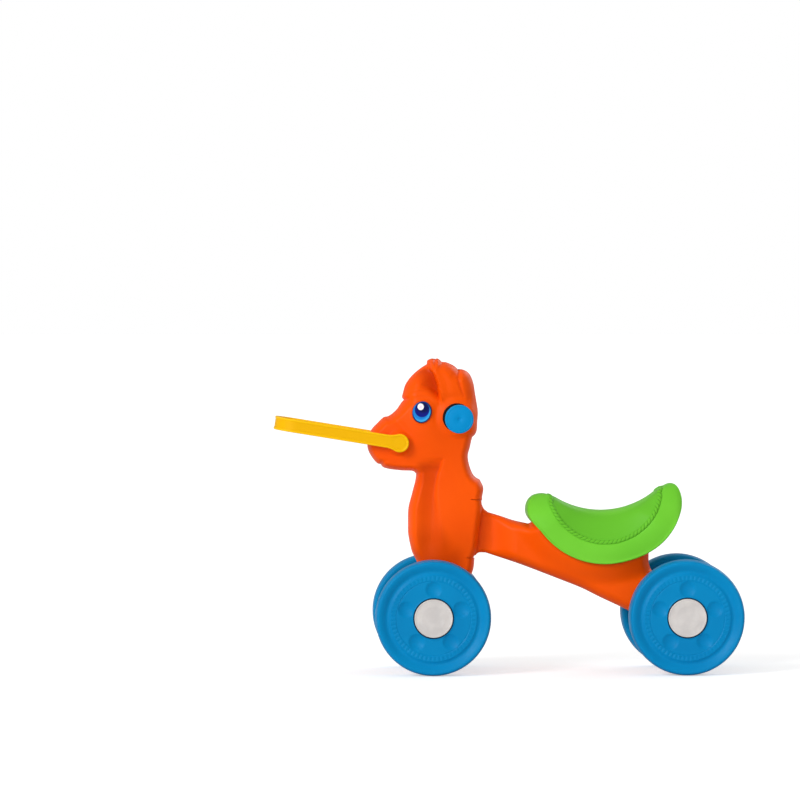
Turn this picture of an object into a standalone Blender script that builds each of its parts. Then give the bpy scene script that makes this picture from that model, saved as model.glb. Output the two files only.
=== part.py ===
"""Pony balance bike: a toddler's ride-on with four wheels, a steering pony head and a saddle.

Metres, +Z up, floor at z = 0. The pony looks along -X, and its left side faces -Y.
The origin is on the floor, under the middle of the whole length and width.
"""
import math

import bmesh
import bpy
import numpy as np
from mathutils import Matrix, Vector
from mathutils.geometry import delaunay_2d_cdt

# Clearances between pieces
GAP = 0.0003  # between faces that touch on the real thing
RUN_GAP = 0.0005  # round a turning piece

# Wheels
WHEEL_RADIUS = 0.090
WHEEL_WIDTH = 0.048
WHEELBASE = 0.395
TRACK = 0.172  # between the middles of the left and right wheels
TREAD_FLAT = 0.022  # flat middle band of the tread
TYRE_BAND = 0.018  # how far the rounded tyre band reaches in from the rim
DISC_DISH = 0.0035  # the disc face lies this far inside the wheel's width
DIMPLE_RADIUS = 0.0115
DIMPLE_DEPTH = 0.0030
DIMPLE_PITCH = 0.0450
DIMPLE_COUNT = 5
CAP_RADIUS = 0.0298
CAP_RECESS_GAP = 0.0014  # the dark ring round the cap
CAP_THICKNESS = 0.0040
WHEEL_SEGMENTS = 24

# Axles and what keeps the wheels on them
AXLE_RADIUS = 0.0050
AXLE_BOSS_RADIUS = 0.0140
NUT_RADIUS = 0.0100
NUT_THICKNESS = 0.0035
WASHER_RADIUS = 0.0110
WASHER_THICKNESS = 0.0020

# Steering: a steel pin through the back of the neck, leaning back
STEER_BEHIND_AXLE = 0.0602  # the axis, level with STEER_LEVEL, behind the front axle
STEER_LEVEL = 0.135  # height above the axles where that distance is measured
STEER_TILT = math.radians(7.0)
STEER_RANGE = math.radians(30.0)
STEER_SPARE = math.radians(2.0)  # the slot opens this much further each way
PIN_RADIUS = 0.0040
PIN_BELOW = 0.070
PIN_ABOVE = 0.075
BUSH_WALL = 0.0020
KNUCKLE_RADIUS = 0.0137  # the neck ends this far behind the axis
BARREL_RADIUS = 0.0120
SLOT_BELOW = 0.0455  # the neck's slot for the frame, along the axis
SLOT_ABOVE = 0.0465
TONGUE_HALF = 0.0090  # half the width of the frame's tongue in that slot

# Shells
WALL = 0.0030
NECK_HALF = 0.0330
CHEEK_HALF = 0.0420
MUZZLE_HALF = 0.0355
CHEST_HALF = 0.0370
MANE_RISE = 0.0040
HEAD_EDGE = 0.0280  # how far in from its outline the head rounds off
NECK_BACK_EDGE = 0.0140
BEAM_HALF = 0.0260
CRADLE_HALF = 0.0450
BEAM_EDGE = 0.0160
RIB_THICKNESS = 0.0024
BOSS_RADIUS = 0.0050
CORE_TOLERANCE = 0.0014  # how far the inner outline's facets may stray
HEAD_STEP = 0.0125  # distance between mesh points on the head
BEAM_STEP = 0.0160

# Saddle: a band swept along an arc, crowned across
SADDLE_BEFORE_AXLE = 0.1247
SADDLE_CENTRE_ABOVE_AXLE = 0.2040
SKIRT_RADIUS = 0.1230
SEAT_EDGE_RADIUS = 0.0875
SEAT_TOP_RADIUS = 0.1460
SEAT_TOP_CENTRE = (-0.0060, 0.1040)  # of the crown's arc, from the saddle's centre
SADDLE_FRONT_HALF = 0.0520
SADDLE_REAR_HALF = 0.0580
SADDLE_WALL = 0.0030
SADDLE_FRONT_ANGLE = math.radians(-82.0)
SADDLE_REAR_ANGLE = math.radians(91.0)
FRONT_TIP = math.radians(14.0)  # the stretch that rounds off at each end
REAR_TIP = math.radians(16.0)
TIP_FLARE = 0.0070  # how much further out the bottom edge runs at the tips
HOLLOW_REAR_ANGLE = math.radians(64.0)  # the saddle is solid beyond this, and ahead of the cradle
CRADLE_RADIUS = 0.1110
CRADLE_FRONT_ANGLE = math.radians(-61.0)
CRADLE_REAR = 0.0722
POST_RADIUS = 0.0060
POST_SPREAD = 0.0300  # along the bike, either side of the saddle's centre
POST_SIDE = 0.0160
POST_SEAT_DEPTH = 0.0035

# Screws
SCREW_RADIUS = 0.0017
SCREW_HEAD_RADIUS = 0.0038
SCREW_HEAD_HEIGHT = 0.0026
ROD_SIDES = 9  # of axles and pins, and of the bores round them
SCREW_SIDES = 6
SCREW_SEAT = 0.0120  # how far the heads' seat lies from the parting plane
SCREW_REACH = 0.0100  # into the other half

# Handlebar and grips
BAR_BEHIND_AXLE = 0.0389
BAR_ABOVE_AXLE = 0.3102
BAR_RADIUS = 0.0080
BAR_WALL = 0.0015
BAR_HALF_LENGTH = 0.1200
BAR_SIDES = 14
GRIP_END_WALL = 0.0100  # solid plastic past the bar's end
GRIP_RADIUS = 0.0145
GRIP_DISC_RADIUS = 0.0222
GRIP_DISC_THICKNESS = 0.0110
GRIP_RIB_COUNT = 3
GRIP_RIB_RISE = 0.0010
COLLAR_RADIUS = 0.0225
COLLAR_THICKNESS = 0.0040
COLLAR_PAD = CHEEK_HALF + 0.0005  # from the middle plane to the pad that the collar sits on

# Eyes
EYE_BEHIND_AXLE = -0.0159
EYE_ABOVE_AXLE = 0.3187
EYE_HALF_LENGTH = 0.0148
EYE_HALF_HEIGHT = 0.0170
EYE_LEAN = math.radians(17.0)
EYE_SINK = 0.0024
EYE_CROWN = 0.0016

# Rein handle
REIN_AHEAD_OF_AXLE = 0.0509
REIN_ABOVE_AXLE = 0.2706
REIN_TILT = math.radians(9.2)
REIN_REACH = 0.1980  # from the pivot to the front of the grip
REIN_HEIGHT = 0.0205
REIN_THICKNESS = 0.0080
REIN_INNER = CHEEK_HALF + 0.0018  # from the middle plane to the arms, which swing past the cheeks
REIN_CORNER = 0.0330
REIN_EDGE = 0.0014
REIN_DISC_RADIUS = 0.0144
REIN_STUB_RADIUS = 0.0065
REIN_STUB_LENGTH = 0.0120
REIN_SIDES = 12

# Places worked out from the sizes
REIN_FRONT = REIN_AHEAD_OF_AXLE + REIN_REACH * math.cos(REIN_TILT) + REIN_HEIGHT / 2 * math.sin(REIN_TILT)
FRONT_X = (REIN_FRONT - WHEELBASE - WHEEL_RADIUS) / 2
REAR_X = FRONT_X + WHEELBASE
GRIP_END = BAR_HALF_LENGTH + GRIP_END_WALL
AXLE_Z = WHEEL_RADIUS
SADDLE_X = REAR_X - SADDLE_BEFORE_AXLE
SADDLE_Z = AXLE_Z + SADDLE_CENTRE_ABOVE_AXLE
DISC_FACE = WHEEL_WIDTH / 2 - DISC_DISH
AXLE_BOSS_END = TRACK / 2 - DISC_FACE - WASHER_THICKNESS - 2 * GAP
CAP_FACE = DISC_FACE + 0.0010
CAP_FLOOR = CAP_FACE - CAP_THICKNESS - GAP
NUT_FLOOR = CAP_FLOOR - NUT_THICKNESS - 0.0020
AXLE_HALF = TRACK / 2 + NUT_FLOOR + NUT_THICKNESS + 0.0008


def from_front(ahead_to_rear, up):
    """A point of the side view, from the front axle's centre."""
    return (FRONT_X + ahead_to_rear, AXLE_Z + up)


def from_rear(ahead_to_rear, up):
    """A point of the side view, from the rear axle's centre."""
    return (REAR_X + ahead_to_rear, AXLE_Z + up)


def from_saddle(angle, radius):
    """A point of the side view round the saddle's centre, angle 0 straight down, + to the rear."""
    return (SADDLE_X + radius * math.sin(angle), SADDLE_Z - radius * math.cos(angle))


def steer_x(up):
    """Where the steering axis is, at a height above the axles."""
    return STEER_BEHIND_AXLE + (up - STEER_LEVEL) * math.tan(STEER_TILT)


def neck_back(up, proud=0.0):
    """The neck's back edge, which runs along the steering axis."""
    return (steer_x(up) + KNUCKLE_RADIUS / math.cos(STEER_TILT) + proud, up)


STEER_POINT = Vector((FRONT_X + STEER_BEHIND_AXLE, 0.0, AXLE_Z + STEER_LEVEL))
STEER_AXIS = Vector((math.sin(STEER_TILT), 0.0, math.cos(STEER_TILT)))


def on_steer_axis(along):
    """A point of the side view on the steering axis."""
    point = STEER_POINT + STEER_AXIS * along
    return (point.x, point.z)


# Outlines in the side view, as smooth stretches that meet at corners

FOOT_RADIUS = 0.0260
SLOT_PROUD = 0.0030  # the side walls beside the slot stand this far back, to allow for their rounding

HEAD_STRETCHES = {
    "foot_front": [(-0.0245, -0.0085), (-0.0225, 0.020), (-0.0190, 0.045), (-0.0190, 0.068),
                   (-0.0236, 0.085), (-0.0300, 0.098), (-0.0346, 0.1166)],
    "chest": [(-0.0346, 0.1166), (-0.0363, 0.128), (-0.0365, 0.145), (-0.0363, 0.161), (-0.0353, 0.170),
              (-0.0299, 0.191), (-0.0245, 0.2125), (-0.0236, 0.2210)],
    "jaw": [(-0.0236, 0.2210), (-0.0282, 0.2250), (-0.0461, 0.2263), (-0.0661, 0.2287), (-0.0760, 0.2317),
            (-0.0796, 0.2363)],
    "muzzle": [(-0.0796, 0.2363), (-0.0841, 0.2372), (-0.0932, 0.2472), (-0.0992, 0.2590), (-0.1004, 0.2680),
               (-0.0952, 0.2885), (-0.0841, 0.3013), (-0.0740, 0.3104), (-0.0678, 0.3116), (-0.0553, 0.3212),
               (-0.0471, 0.3328), (-0.0430, 0.3374)],
    "brow": [(-0.0430, 0.3374), (-0.0457, 0.3407), (-0.0441, 0.3497), (-0.0405, 0.3614), (-0.0332, 0.3721),
             (-0.0252, 0.3803), (-0.0161, 0.3875), (-0.0070, 0.3933)],
    "forelock": [(-0.0070, 0.3933), (-0.0062, 0.3988), (-0.0020, 0.4014), (0.0030, 0.4022),
                 (0.0055, 0.4006)],
    "poll": [(0.0055, 0.4006), (0.0095, 0.4024), (0.0138, 0.3998), (0.0165, 0.3968)],
    "crest": [(0.0165, 0.3968), (0.0228, 0.3965), (0.0300, 0.3938), (0.0372, 0.3897), (0.0425, 0.3843)],
    "mane": [(0.0425, 0.3843), (0.0472, 0.3853), (0.0543, 0.3829), (0.0597, 0.3785), (0.0634, 0.3721),
             (0.0666, 0.3622), (0.0689, 0.3478), (0.0715, 0.3324), (0.0734, 0.3180), (0.0725, 0.3025),
             (0.0715, 0.2890), (0.0688, 0.2827), (0.0648, 0.2791)],
    "nape": [(0.0648, 0.2791), (0.0633, 0.2739), (0.0606, 0.2620), (0.0577, 0.2506), (0.0586, 0.2398),
             (0.0639, 0.2235), (0.0690, 0.2163), (0.0765, 0.2117)],
}


def outline_of_head():
    """The whole pony unit from the side: up the chest, round the face and the mane, down the back."""
    stretches = [list(points) for points in HEAD_STRETCHES.values()]
    knuckle = [stretches[-1][-1], neck_back(0.1990), neck_back(0.1835)]
    beside_slot = [neck_back(0.1835), neck_back(0.1700, SLOT_PROUD), neck_back(0.1350, SLOT_PROUD),
                   neck_back(0.1000, SLOT_PROUD), neck_back(0.0880)]
    heel = [neck_back(0.0880), neck_back(0.0700), (0.0560, 0.0480), (0.0440, 0.0330), (0.0310, 0.0180),
            (FOOT_RADIUS, 0.0000)]
    start = math.atan2(-0.0085, -0.0245)
    sole = [(FOOT_RADIUS * math.cos(a), FOOT_RADIUS * math.sin(a)) for a in np.linspace(0.0, start, 7)]
    stretches += [knuckle, beside_slot, heel, sole]
    return [[from_front(x, z) for x, z in stretch] for stretch in stretches]


def outline_of_frame():
    """The beam with its cradle from the side: along the top, round the rear axle, back underneath."""
    low, high = -SLOT_BELOW + RUN_GAP, SLOT_ABOVE - RUN_GAP
    tongue_top = [on_steer_axis(high), from_front(0.0745, 0.1800), from_front(0.0790, 0.1740),
                  from_front(0.0830, 0.1660), from_front(0.0900, 0.1603)]
    beam_top = [from_front(0.0900, 0.1603), from_front(0.1101, 0.1542), from_rear(-0.2663, 0.1479),
                from_rear(-0.2418, 0.1423)]
    cradle_lip = [from_rear(-0.2418, 0.1423), from_rear(-0.2350, 0.1455),
                  from_saddle(CRADLE_FRONT_ANGLE, CRADLE_RADIUS)]
    rear_angle = math.asin(CRADLE_REAR / CRADLE_RADIUS)
    seat = [from_saddle(a, CRADLE_RADIUS) for a in np.linspace(CRADLE_FRONT_ANGLE, rear_angle, 11)]
    cradle_back = (seat[-1][0], AXLE_Z + 0.0813)
    tail = [cradle_back, from_rear(-0.0490, 0.0710), from_rear(-0.0380, 0.0600), from_rear(-0.0120, 0.0455),
            from_rear(0.0120, 0.0340), from_rear(0.0240, 0.0150)]
    boss = [from_rear(FOOT_RADIUS * math.cos(a), FOOT_RADIUS * math.sin(a))
            for a in np.linspace(math.radians(30.0), math.radians(-118.0), 8)]
    belly = [boss[-1], from_rear(-0.0480, -0.0115), from_rear(-0.0783, 0.0025), from_rear(-0.1052, 0.0152),
             from_rear(-0.1320, 0.0278), from_rear(-0.1573, 0.0405), from_rear(-0.1890, 0.0532),
             from_front(0.1400, 0.0785), from_front(0.1024, 0.0912), from_front(0.0855, 0.0968)]
    tongue_low = [from_front(0.0855, 0.0968), from_front(0.0745, 0.0965), from_front(0.0690, 0.0922),
                  on_steer_axis(low)]
    return [tongue_top, beam_top, cradle_lip, seat, [seat[-1], cradle_back], tail, [tail[-1]] + boss[1:],
            belly, tongue_low, [on_steer_axis(low), on_steer_axis(high)]]


# Materials

def material(name, colour, roughness, metallic=0.0):
    """A Principled material, made once for each name."""
    found = bpy.data.materials.get(name)
    if found:
        return found
    made = bpy.data.materials.new(name)
    made.use_nodes = True
    shader = made.node_tree.nodes["Principled BSDF"]
    shader.inputs["Base Color"].default_value = (*colour, 1.0)
    shader.inputs["Roughness"].default_value = roughness
    shader.inputs["Metallic"].default_value = metallic
    made.diffuse_color = (*colour, 1.0)
    return made


FINISHES = {
    "orange_plastic": ((0.95, 0.09, 0.003), 0.35, 0.0),
    "blue_plastic": ((0.003, 0.26, 0.55), 0.35, 0.0),
    "green_plastic": ((0.17, 0.60, 0.05), 0.35, 0.0),
    "yellow_plastic": ((0.87, 0.50, 0.002), 0.35, 0.0),
    "black_plastic": ((0.012, 0.012, 0.012), 0.45, 0.0),
    "eye_plastic": ((0.010, 0.030, 0.190), 0.10, 0.0),
    "silver_plastic": ((0.55, 0.55, 0.55), 0.35, 0.6),
    "steel": ((0.60, 0.60, 0.60), 0.30, 1.0),
    "white_nylon": ((0.80, 0.80, 0.78), 0.45, 0.0),
}


# Mesh helpers

def new_object(name, mesh, finish, smooth_degrees=35.0):
    """An object in the scene with its material, shaded smooth up to an angle."""
    obj = bpy.data.objects.new(name, mesh)
    bpy.context.scene.collection.objects.link(obj)
    if finish:
        mesh.materials.append(material(finish, *FINISHES[finish]))
        mesh.shade_smooth()
        mesh.set_sharp_from_angle(angle=math.radians(smooth_degrees))
    return obj


def mesh_from(vertices, faces, merge=0.000002):
    """A mesh with its doubles merged and its faces turned out."""
    bm = bmesh.new()
    made = [bm.verts.new(v) for v in vertices]
    for face in faces:
        bm.faces.new([made[i] for i in face])
    bmesh.ops.remove_doubles(bm, verts=bm.verts, dist=merge)
    bmesh.ops.dissolve_degenerate(bm, edges=bm.edges, dist=merge)
    bmesh.ops.recalc_face_normals(bm, faces=bm.faces)
    mesh = bpy.data.meshes.new("shape")
    bm.to_mesh(mesh)
    bm.free()
    return mesh


def hide_cutter(obj):
    """A cutter shows as wire and isn't a piece."""
    obj.hide_render = True
    obj.display_type = "WIRE"
    return obj


def boolean(obj, other, operation="DIFFERENCE"):
    """Cuts another object out of this one, or joins it."""
    step = obj.modifiers.new(other.name, "BOOLEAN")
    step.operation = operation
    step.solver = "EXACT"
    step.object = other
    return obj


def cutter(mesh, name="cutter"):
    """A hidden object for cutting."""
    return hide_cutter(new_object(name, mesh, None))


def lathe(profile, segments, closed=False):
    """A body turned round the Y axis from (radius, y) points. Closed profiles go round a bore."""
    vertices, faces, rings = [], [], []
    for radius, y in profile:
        if radius < 1e-7:
            rings.append([len(vertices)] * segments)
            vertices.append((0.0, y, 0.0))
            continue
        rings.append(list(range(len(vertices), len(vertices) + segments)))
        for k in range(segments):
            angle = 2 * math.pi * (k + 0.5) / segments
            vertices.append((radius * math.sin(angle), y, -radius * math.cos(angle)))
    pairs = list(zip(rings, rings[1:]))
    if closed:
        pairs.append((rings[-1], rings[0]))
    for a, b in pairs:
        for k in range(segments):
            n = (k + 1) % segments
            corners = [a[k], a[n], b[n], b[k]]
            face = [c for i, c in enumerate(corners) if c not in corners[:i]]
            if len(face) > 2:
                faces.append(face)
    if not closed:
        for ring in (rings[0], rings[-1]):
            if ring[0] != ring[1]:
                faces.append(ring)
    return mesh_from(vertices, faces)


def rod_y(radius, y_from, y_to, x=0.0, z=0.0, segments=20):
    """A cylinder along Y."""
    mesh = lathe([(radius, y_from), (radius, y_to)], segments)
    mesh.transform(Matrix.Translation((x, 0.0, z)))
    return mesh


def rod_z(radius, z_from, z_to, x, y, segments=14):
    """An upright cylinder."""
    mesh = lathe([(radius, z_from), (radius, z_to)], segments)
    mesh.transform(Matrix.Translation((x, y, 0.0)) @ Matrix.Rotation(math.radians(90.0), 4, "X"))
    return mesh


def to_steer_axis():
    """The placing that turns a lathe's Y axis on to the steering axis."""
    return Matrix.Translation(STEER_POINT) @ Matrix.Rotation(STEER_TILT, 4, "Y") \
        @ Matrix.Rotation(math.radians(90.0), 4, "X")


def rod_on_axis(radius, along_from, along_to, segments=20):
    """A cylinder along the steering axis."""
    mesh = lathe([(radius, along_from), (radius, along_to)], segments)
    mesh.transform(to_steer_axis())
    return mesh


def prism(points, low, high, placing=None):
    """An outline of (x, y) points, extruded from low to high along Z and then placed."""
    count = len(points)
    vertices = [(x, y, low) for x, y in points] + [(x, y, high) for x, y in points]
    faces = [list(range(count)), list(range(count, 2 * count))]
    faces += [[k, (k + 1) % count, count + (k + 1) % count, count + k] for k in range(count)]
    mesh = mesh_from(vertices, faces)
    if placing:
        mesh.transform(placing)
    return mesh


def side_prism(points, y_from, y_to):
    """An outline of side view (x, z) points, extruded along Y."""
    count = len(points)
    vertices = [(x, y_from, z) for x, z in points] + [(x, y_to, z) for x, z in points]
    faces = [list(range(count)), list(range(count, 2 * count))]
    faces += [[k, (k + 1) % count, count + (k + 1) % count, count + k] for k in range(count)]
    return mesh_from(vertices, faces)


# Outline helpers

def smooth_step(value, low, high):
    t = np.clip((value - low) / (high - low), 0.0, 1.0)
    return t * t * (3.0 - 2.0 * t)


def spline(points, spacing):
    """A centripetal Catmull-Rom curve through the points, sampled evenly."""
    p = np.array(points, float)
    if len(p) == 2:
        fine = p
    else:
        ends = np.vstack([2 * p[0] - p[1], p, 2 * p[-1] - p[-2]])
        knots = np.concatenate([[0.0], np.cumsum(np.sqrt(np.linalg.norm(np.diff(ends, axis=0), axis=1)))])
        fine = [p[0]]
        for i in range(1, len(ends) - 2):
            t0, t1, t2, t3 = knots[i - 1:i + 3]
            for t in np.linspace(t1, t2, 9)[1:]:
                a1 = ends[i - 1] + (ends[i] - ends[i - 1]) * (t - t0) / (t1 - t0)
                a2 = ends[i] + (ends[i + 1] - ends[i]) * (t - t1) / (t2 - t1)
                a3 = ends[i + 1] + (ends[i + 2] - ends[i + 1]) * (t - t2) / (t3 - t2)
                b1 = a1 + (a2 - a1) * (t - t0) / (t2 - t0)
                b2 = a2 + (a3 - a2) * (t - t1) / (t3 - t1)
                fine.append(b1 + (b2 - b1) * (t - t1) / (t2 - t1))
        fine = np.array(fine)
    run = np.concatenate([[0.0], np.cumsum(np.linalg.norm(np.diff(fine, axis=0), axis=1))])
    step = min(spacing, max(run[-1] / 3.0, 0.4 * spacing))
    parts = max(2 if len(p) > 2 else 1, int(round(run[-1] / step)))
    marks = np.linspace(0.0, run[-1], parts + 1)
    return np.stack([np.interp(marks, run, fine[:, 0]), np.interp(marks, run, fine[:, 1])], 1)


def loop_from(stretches, spacing):
    """One closed outline from stretches that meet end to end, running anticlockwise."""
    points = np.vstack([spline(stretch, spacing)[:-1] for stretch in stretches])
    x, z = points[:, 0], points[:, 1]
    area = np.sum(x * np.roll(z, -1) - np.roll(x, -1) * z)
    return points if area > 0 else points[::-1]


def distance_to(loop, points):
    """How far each point is from a closed outline."""
    a = loop
    ab = np.roll(loop, -1, axis=0) - a
    length = np.maximum(np.sum(ab * ab, axis=1), 1e-16)
    ap = points[:, None, :] - a[None, :, :]
    t = np.clip(np.sum(ap * ab[None], axis=2) / length[None], 0.0, 1.0)
    return np.min(np.linalg.norm(ap - t[..., None] * ab[None], axis=2), axis=1)


def is_inside(loop, points):
    """Which points lie inside a closed outline."""
    a, b = loop, np.roll(loop, -1, axis=0)
    px, pz = points[:, 0][:, None], points[:, 1][:, None]
    rises = (a[None, :, 1] > pz) != (b[None, :, 1] > pz)
    run = np.where(np.abs(b[:, 1] - a[:, 1]) < 1e-12, 1e-12, b[:, 1] - a[:, 1])
    cross = a[None, :, 0] + (pz - a[None, :, 1]) * (b[:, 0] - a[:, 0])[None] / run[None]
    return np.sum(rises & (px < cross), axis=1) % 2 == 1


def inward(loop):
    """The inward direction at each point of an anticlockwise outline."""
    along = np.roll(loop, -1, axis=0) - np.roll(loop, 1, axis=0)
    along /= np.linalg.norm(along, axis=1)[:, None]
    return np.stack([-along[:, 1], along[:, 0]], 1)


def inset_loop(loop, depth):
    """The outline moved in by a depth, without the points that would cross."""
    moved = loop + inward(loop) * depth
    keep = distance_to(loop, moved) > 0.96 * depth
    return moved[keep]


def simplified(loop, tolerance):
    """The outline with only the points that it needs to stay within a tolerance."""
    count = len(loop)
    kept = {0, count // 3, 2 * count // 3}
    spans = [(0, count // 3), (count // 3, 2 * count // 3), (2 * count // 3, count)]
    while spans:
        first, last = spans.pop()
        if last - first < 2:
            continue
        a, b = loop[first], loop[last % count]
        along = (b - a) / np.linalg.norm(b - a)
        off = loop[first + 1:last] - a
        away = np.abs(off[:, 0] * along[1] - off[:, 1] * along[0])
        if away.max() > tolerance:
            middle = first + 1 + int(np.argmax(away))
            kept.add(middle)
            spans += [(first, middle), (middle, last)]
    return loop[sorted(kept)]


def thinned(points, others, spacing):
    """The points that keep a spacing to each other and to the others."""
    kept = []
    near = [tuple(p) for p in others]
    for p in points:
        pool = np.array(near + kept) if near or kept else None
        if pool is None or np.min(np.linalg.norm(pool - p, axis=1)) > spacing:
            kept.append(tuple(p))
    return kept


RING_ANGLES = [math.radians(a) for a in (30.0, 60.0, 90.0)]


def inner_points(loop, edge_radius, spacing):
    """Points inside an outline: rings where the edge rounds off, then an even pattern."""
    points = []
    for angle in RING_ANGLES:
        depth = edge_radius(loop) * (1.0 - math.cos(angle))
        ring = loop + inward(loop) * depth[:, None]
        ring = ring[(distance_to(loop, ring) > 0.97 * depth) & is_inside(loop, ring)]
        closeness = 0.25 * spacing if angle == RING_ANGLES[0] else 0.55 * spacing
        points += thinned(ring, points, closeness)
    low, high = loop.min(axis=0), loop.max(axis=0)
    pitch = 1.25 * spacing
    rows = np.arange(low[1], high[1], pitch * 0.866)
    columns = np.arange(low[0], high[0], pitch)
    grid = np.array([(x + (k % 2) * pitch / 2, z) for k, z in enumerate(rows) for x in columns])
    grid = grid[is_inside(loop, grid)]
    grid = grid[distance_to(loop, grid) > edge_radius(grid) + 0.35 * spacing]
    points += thinned(grid, points, 0.6 * spacing)
    return np.array(points)


def triangulate(loop, points):
    """Triangles inside an outline, through all of the points."""
    flat = [Vector(p) for p in np.vstack([loop, points])]
    edges = [(k, (k + 1) % len(loop)) for k in range(len(loop))]
    coords, _, faces, _, _, _ = delaunay_2d_cdt(flat, edges, [], 1, 1e-7)
    return np.array([tuple(c) for c in coords]), [list(face) for face in faces]


def pillow(loop, edge_radius, height, overlap, side, spacing):
    """A body with a flat back near the middle plane and a front that swells by height(points).

    With an overlap its back lies that far past the parting plane, as a mould's core does.
    """
    flat, faces = triangulate(loop, inner_points(loop, edge_radius, spacing))
    rise = height(flat)
    rim = [int(np.argmin(np.linalg.norm(flat - p, axis=1))) for p in loop]
    rise[rim] = 0.0
    vertices = [(x, side * (GAP / 2 + h), z) for (x, z), h in zip(flat, rise)]
    if overlap == 0.0:
        return mesh_from(vertices, faces + [rim])
    back = list(range(len(vertices), len(vertices) + len(loop)))
    vertices += [(x, side * (GAP / 2 - overlap), z) for x, z in loop]
    for k in range(len(loop)):
        n = (k + 1) % len(loop)
        faces.append([rim[k], rim[n], back[n], back[k]])
    return mesh_from(vertices, faces + [back])


def rounding(distance, radius):
    """An elliptical edge: 0 at the outline, 1 from the edge radius inwards."""
    t = np.clip(distance / radius, 0.0, 1.0)
    return np.sqrt(1.0 - (1.0 - t) ** 2)


def swell(points, centre, reach):
    """A soft bump round a place in the side view, 1 at its middle."""
    x = (points[:, 0] - centre[0]) / reach[0]
    z = (points[:, 1] - centre[1]) / reach[1]
    return np.exp(-x * x - z * z)


def skin_of(loop, half_width, edge_radius, inset=0.0):
    """The height of a shell's outer face over its side view, or of its inner face at an inset."""
    def height(points):
        depth = distance_to(loop, points) - inset
        return (half_width(points) - GAP / 2 - inset) * rounding(depth, edge_radius(points) - inset)
    return height


def joined(meshes):
    """Meshes that don't touch, as one cutter's mesh."""
    bm = bmesh.new()
    for mesh in meshes:
        bm.from_mesh(mesh)
    mesh = bpy.data.meshes.new("cutters")
    bm.to_mesh(mesh)
    bm.free()
    return mesh


# The pony shells

HEAD_LOOP = loop_from(outline_of_head(), HEAD_STEP)
FRAME_LOOP = loop_from(outline_of_frame(), BEAM_STEP)

HEAD_SCREWS = [(-0.080, 0.266), (0.008, 0.370), (0.024, 0.250), (-0.012, 0.186), (-0.006, 0.100)]
FRAME_SCREWS_FROM_FRONT = [(0.114, 0.121)]
FRAME_SCREWS_FROM_REAR = [(-0.196, 0.082), (-0.125, 0.056), (-0.058, 0.042)]
HEAD_RIBS = [0.046, 0.150, 0.222]


def front_places(points):
    """Side view places measured from the front axle, as two columns."""
    return points[:, 0] - FRONT_X, points[:, 1] - AXLE_Z


def head_edge(points):
    """How far in the head rounds off: softly in front, sharper down the back of the neck."""
    x, z = front_places(points)
    back = smooth_step(x, 0.028, 0.055) * (1.0 - smooth_step(z, 0.205, 0.240))
    return HEAD_EDGE + (NECK_BACK_EDGE - HEAD_EDGE) * back


def mane_area(points):
    """1 behind the forelock's crease, where the mane stands proud of the face."""
    x, z = front_places(points)
    crease = -0.0005 + 0.23 * (0.390 - z)
    above = smooth_step(z, 0.322, 0.345)
    behind = smooth_step(x, crease, crease + 0.006)
    low = smooth_step(z, 0.270, 0.290) * smooth_step(x, 0.052, 0.062)
    return np.maximum(above * behind, low)


def head_half(points):
    """Half the width of the pony unit, over the side view."""
    soft = [
        (CHEEK_HALF - NECK_HALF, from_front(-0.010, 0.298), (0.050, 0.055)),
        (MUZZLE_HALF - NECK_HALF, from_front(-0.080, 0.266), (0.032, 0.040)),
        (CHEST_HALF - NECK_HALF, from_front(0.018, 0.130), (0.060, 0.070)),
    ]
    width = np.full(len(points), NECK_HALF)
    for rise, centre, reach in soft:
        width = width + rise * swell(points, centre, reach)
    return width + MANE_RISE * mane_area(points)


def head_skin(points):
    return skin_of(HEAD_LOOP, head_half, head_edge)(points)


def knuckle_plan(barrel, half, reach):
    """The slot for the frame seen along the steering axis: a barrel that opens to the steering angle."""
    turn = STEER_RANGE + STEER_SPARE
    along = math.sqrt(barrel * barrel - half * half)
    x = along * math.cos(turn) - half * math.sin(turn)
    y = along * math.sin(turn) + half * math.cos(turn)
    first = math.atan2(y, x)
    arc = [(barrel * math.cos(a), barrel * math.sin(a)) for a in np.linspace(first, 2 * math.pi - first, 13)]
    far_x, far_y = x + reach * math.cos(turn), y + reach * math.sin(turn)
    return [(far_x, far_y)] + arc + [(far_x, -far_y)]


def steer_placing():
    return Matrix.Translation(STEER_POINT) @ Matrix.Rotation(STEER_TILT, 4, "Y")


def eye_placing(side):
    """The eye's own frame: its Z axis along the skin's normal, its Y axis leaning up the face."""
    x, z = from_front(EYE_BEHIND_AXLE, EYE_ABOVE_AXLE)
    probe = 0.006
    spots = np.array([(x, z), (x + probe, z), (x - probe, z), (x, z + probe), (x, z - probe)])
    h = head_skin(spots)
    normal = Vector((-(h[1] - h[2]) / (2 * probe), side, -(h[3] - h[4]) / (2 * probe))).normalized()
    up = Vector((math.sin(EYE_LEAN), 0.0, math.cos(EYE_LEAN)))
    up = (up - normal * up.dot(normal)).normalized()
    across = up.cross(normal)
    turn = Matrix((across, up, normal)).transposed().to_4x4()
    return Matrix.Translation((x, side * (GAP / 2 + h[0]), z)) @ turn


def ellipse(grow=0.0, count=16):
    return [((EYE_HALF_LENGTH + grow) * math.cos(a), (EYE_HALF_HEIGHT + grow) * math.sin(a))
            for a in np.linspace(0.0, 2 * math.pi, count + 1)[:-1]]


def screw_places_head():
    return [from_front(x, z) for x, z in HEAD_SCREWS]


def screw_places_frame():
    return [from_front(x, z) for x, z in FRAME_SCREWS_FROM_FRONT] + \
        [from_rear(x, z) for x, z in FRAME_SCREWS_FROM_REAR]


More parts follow.
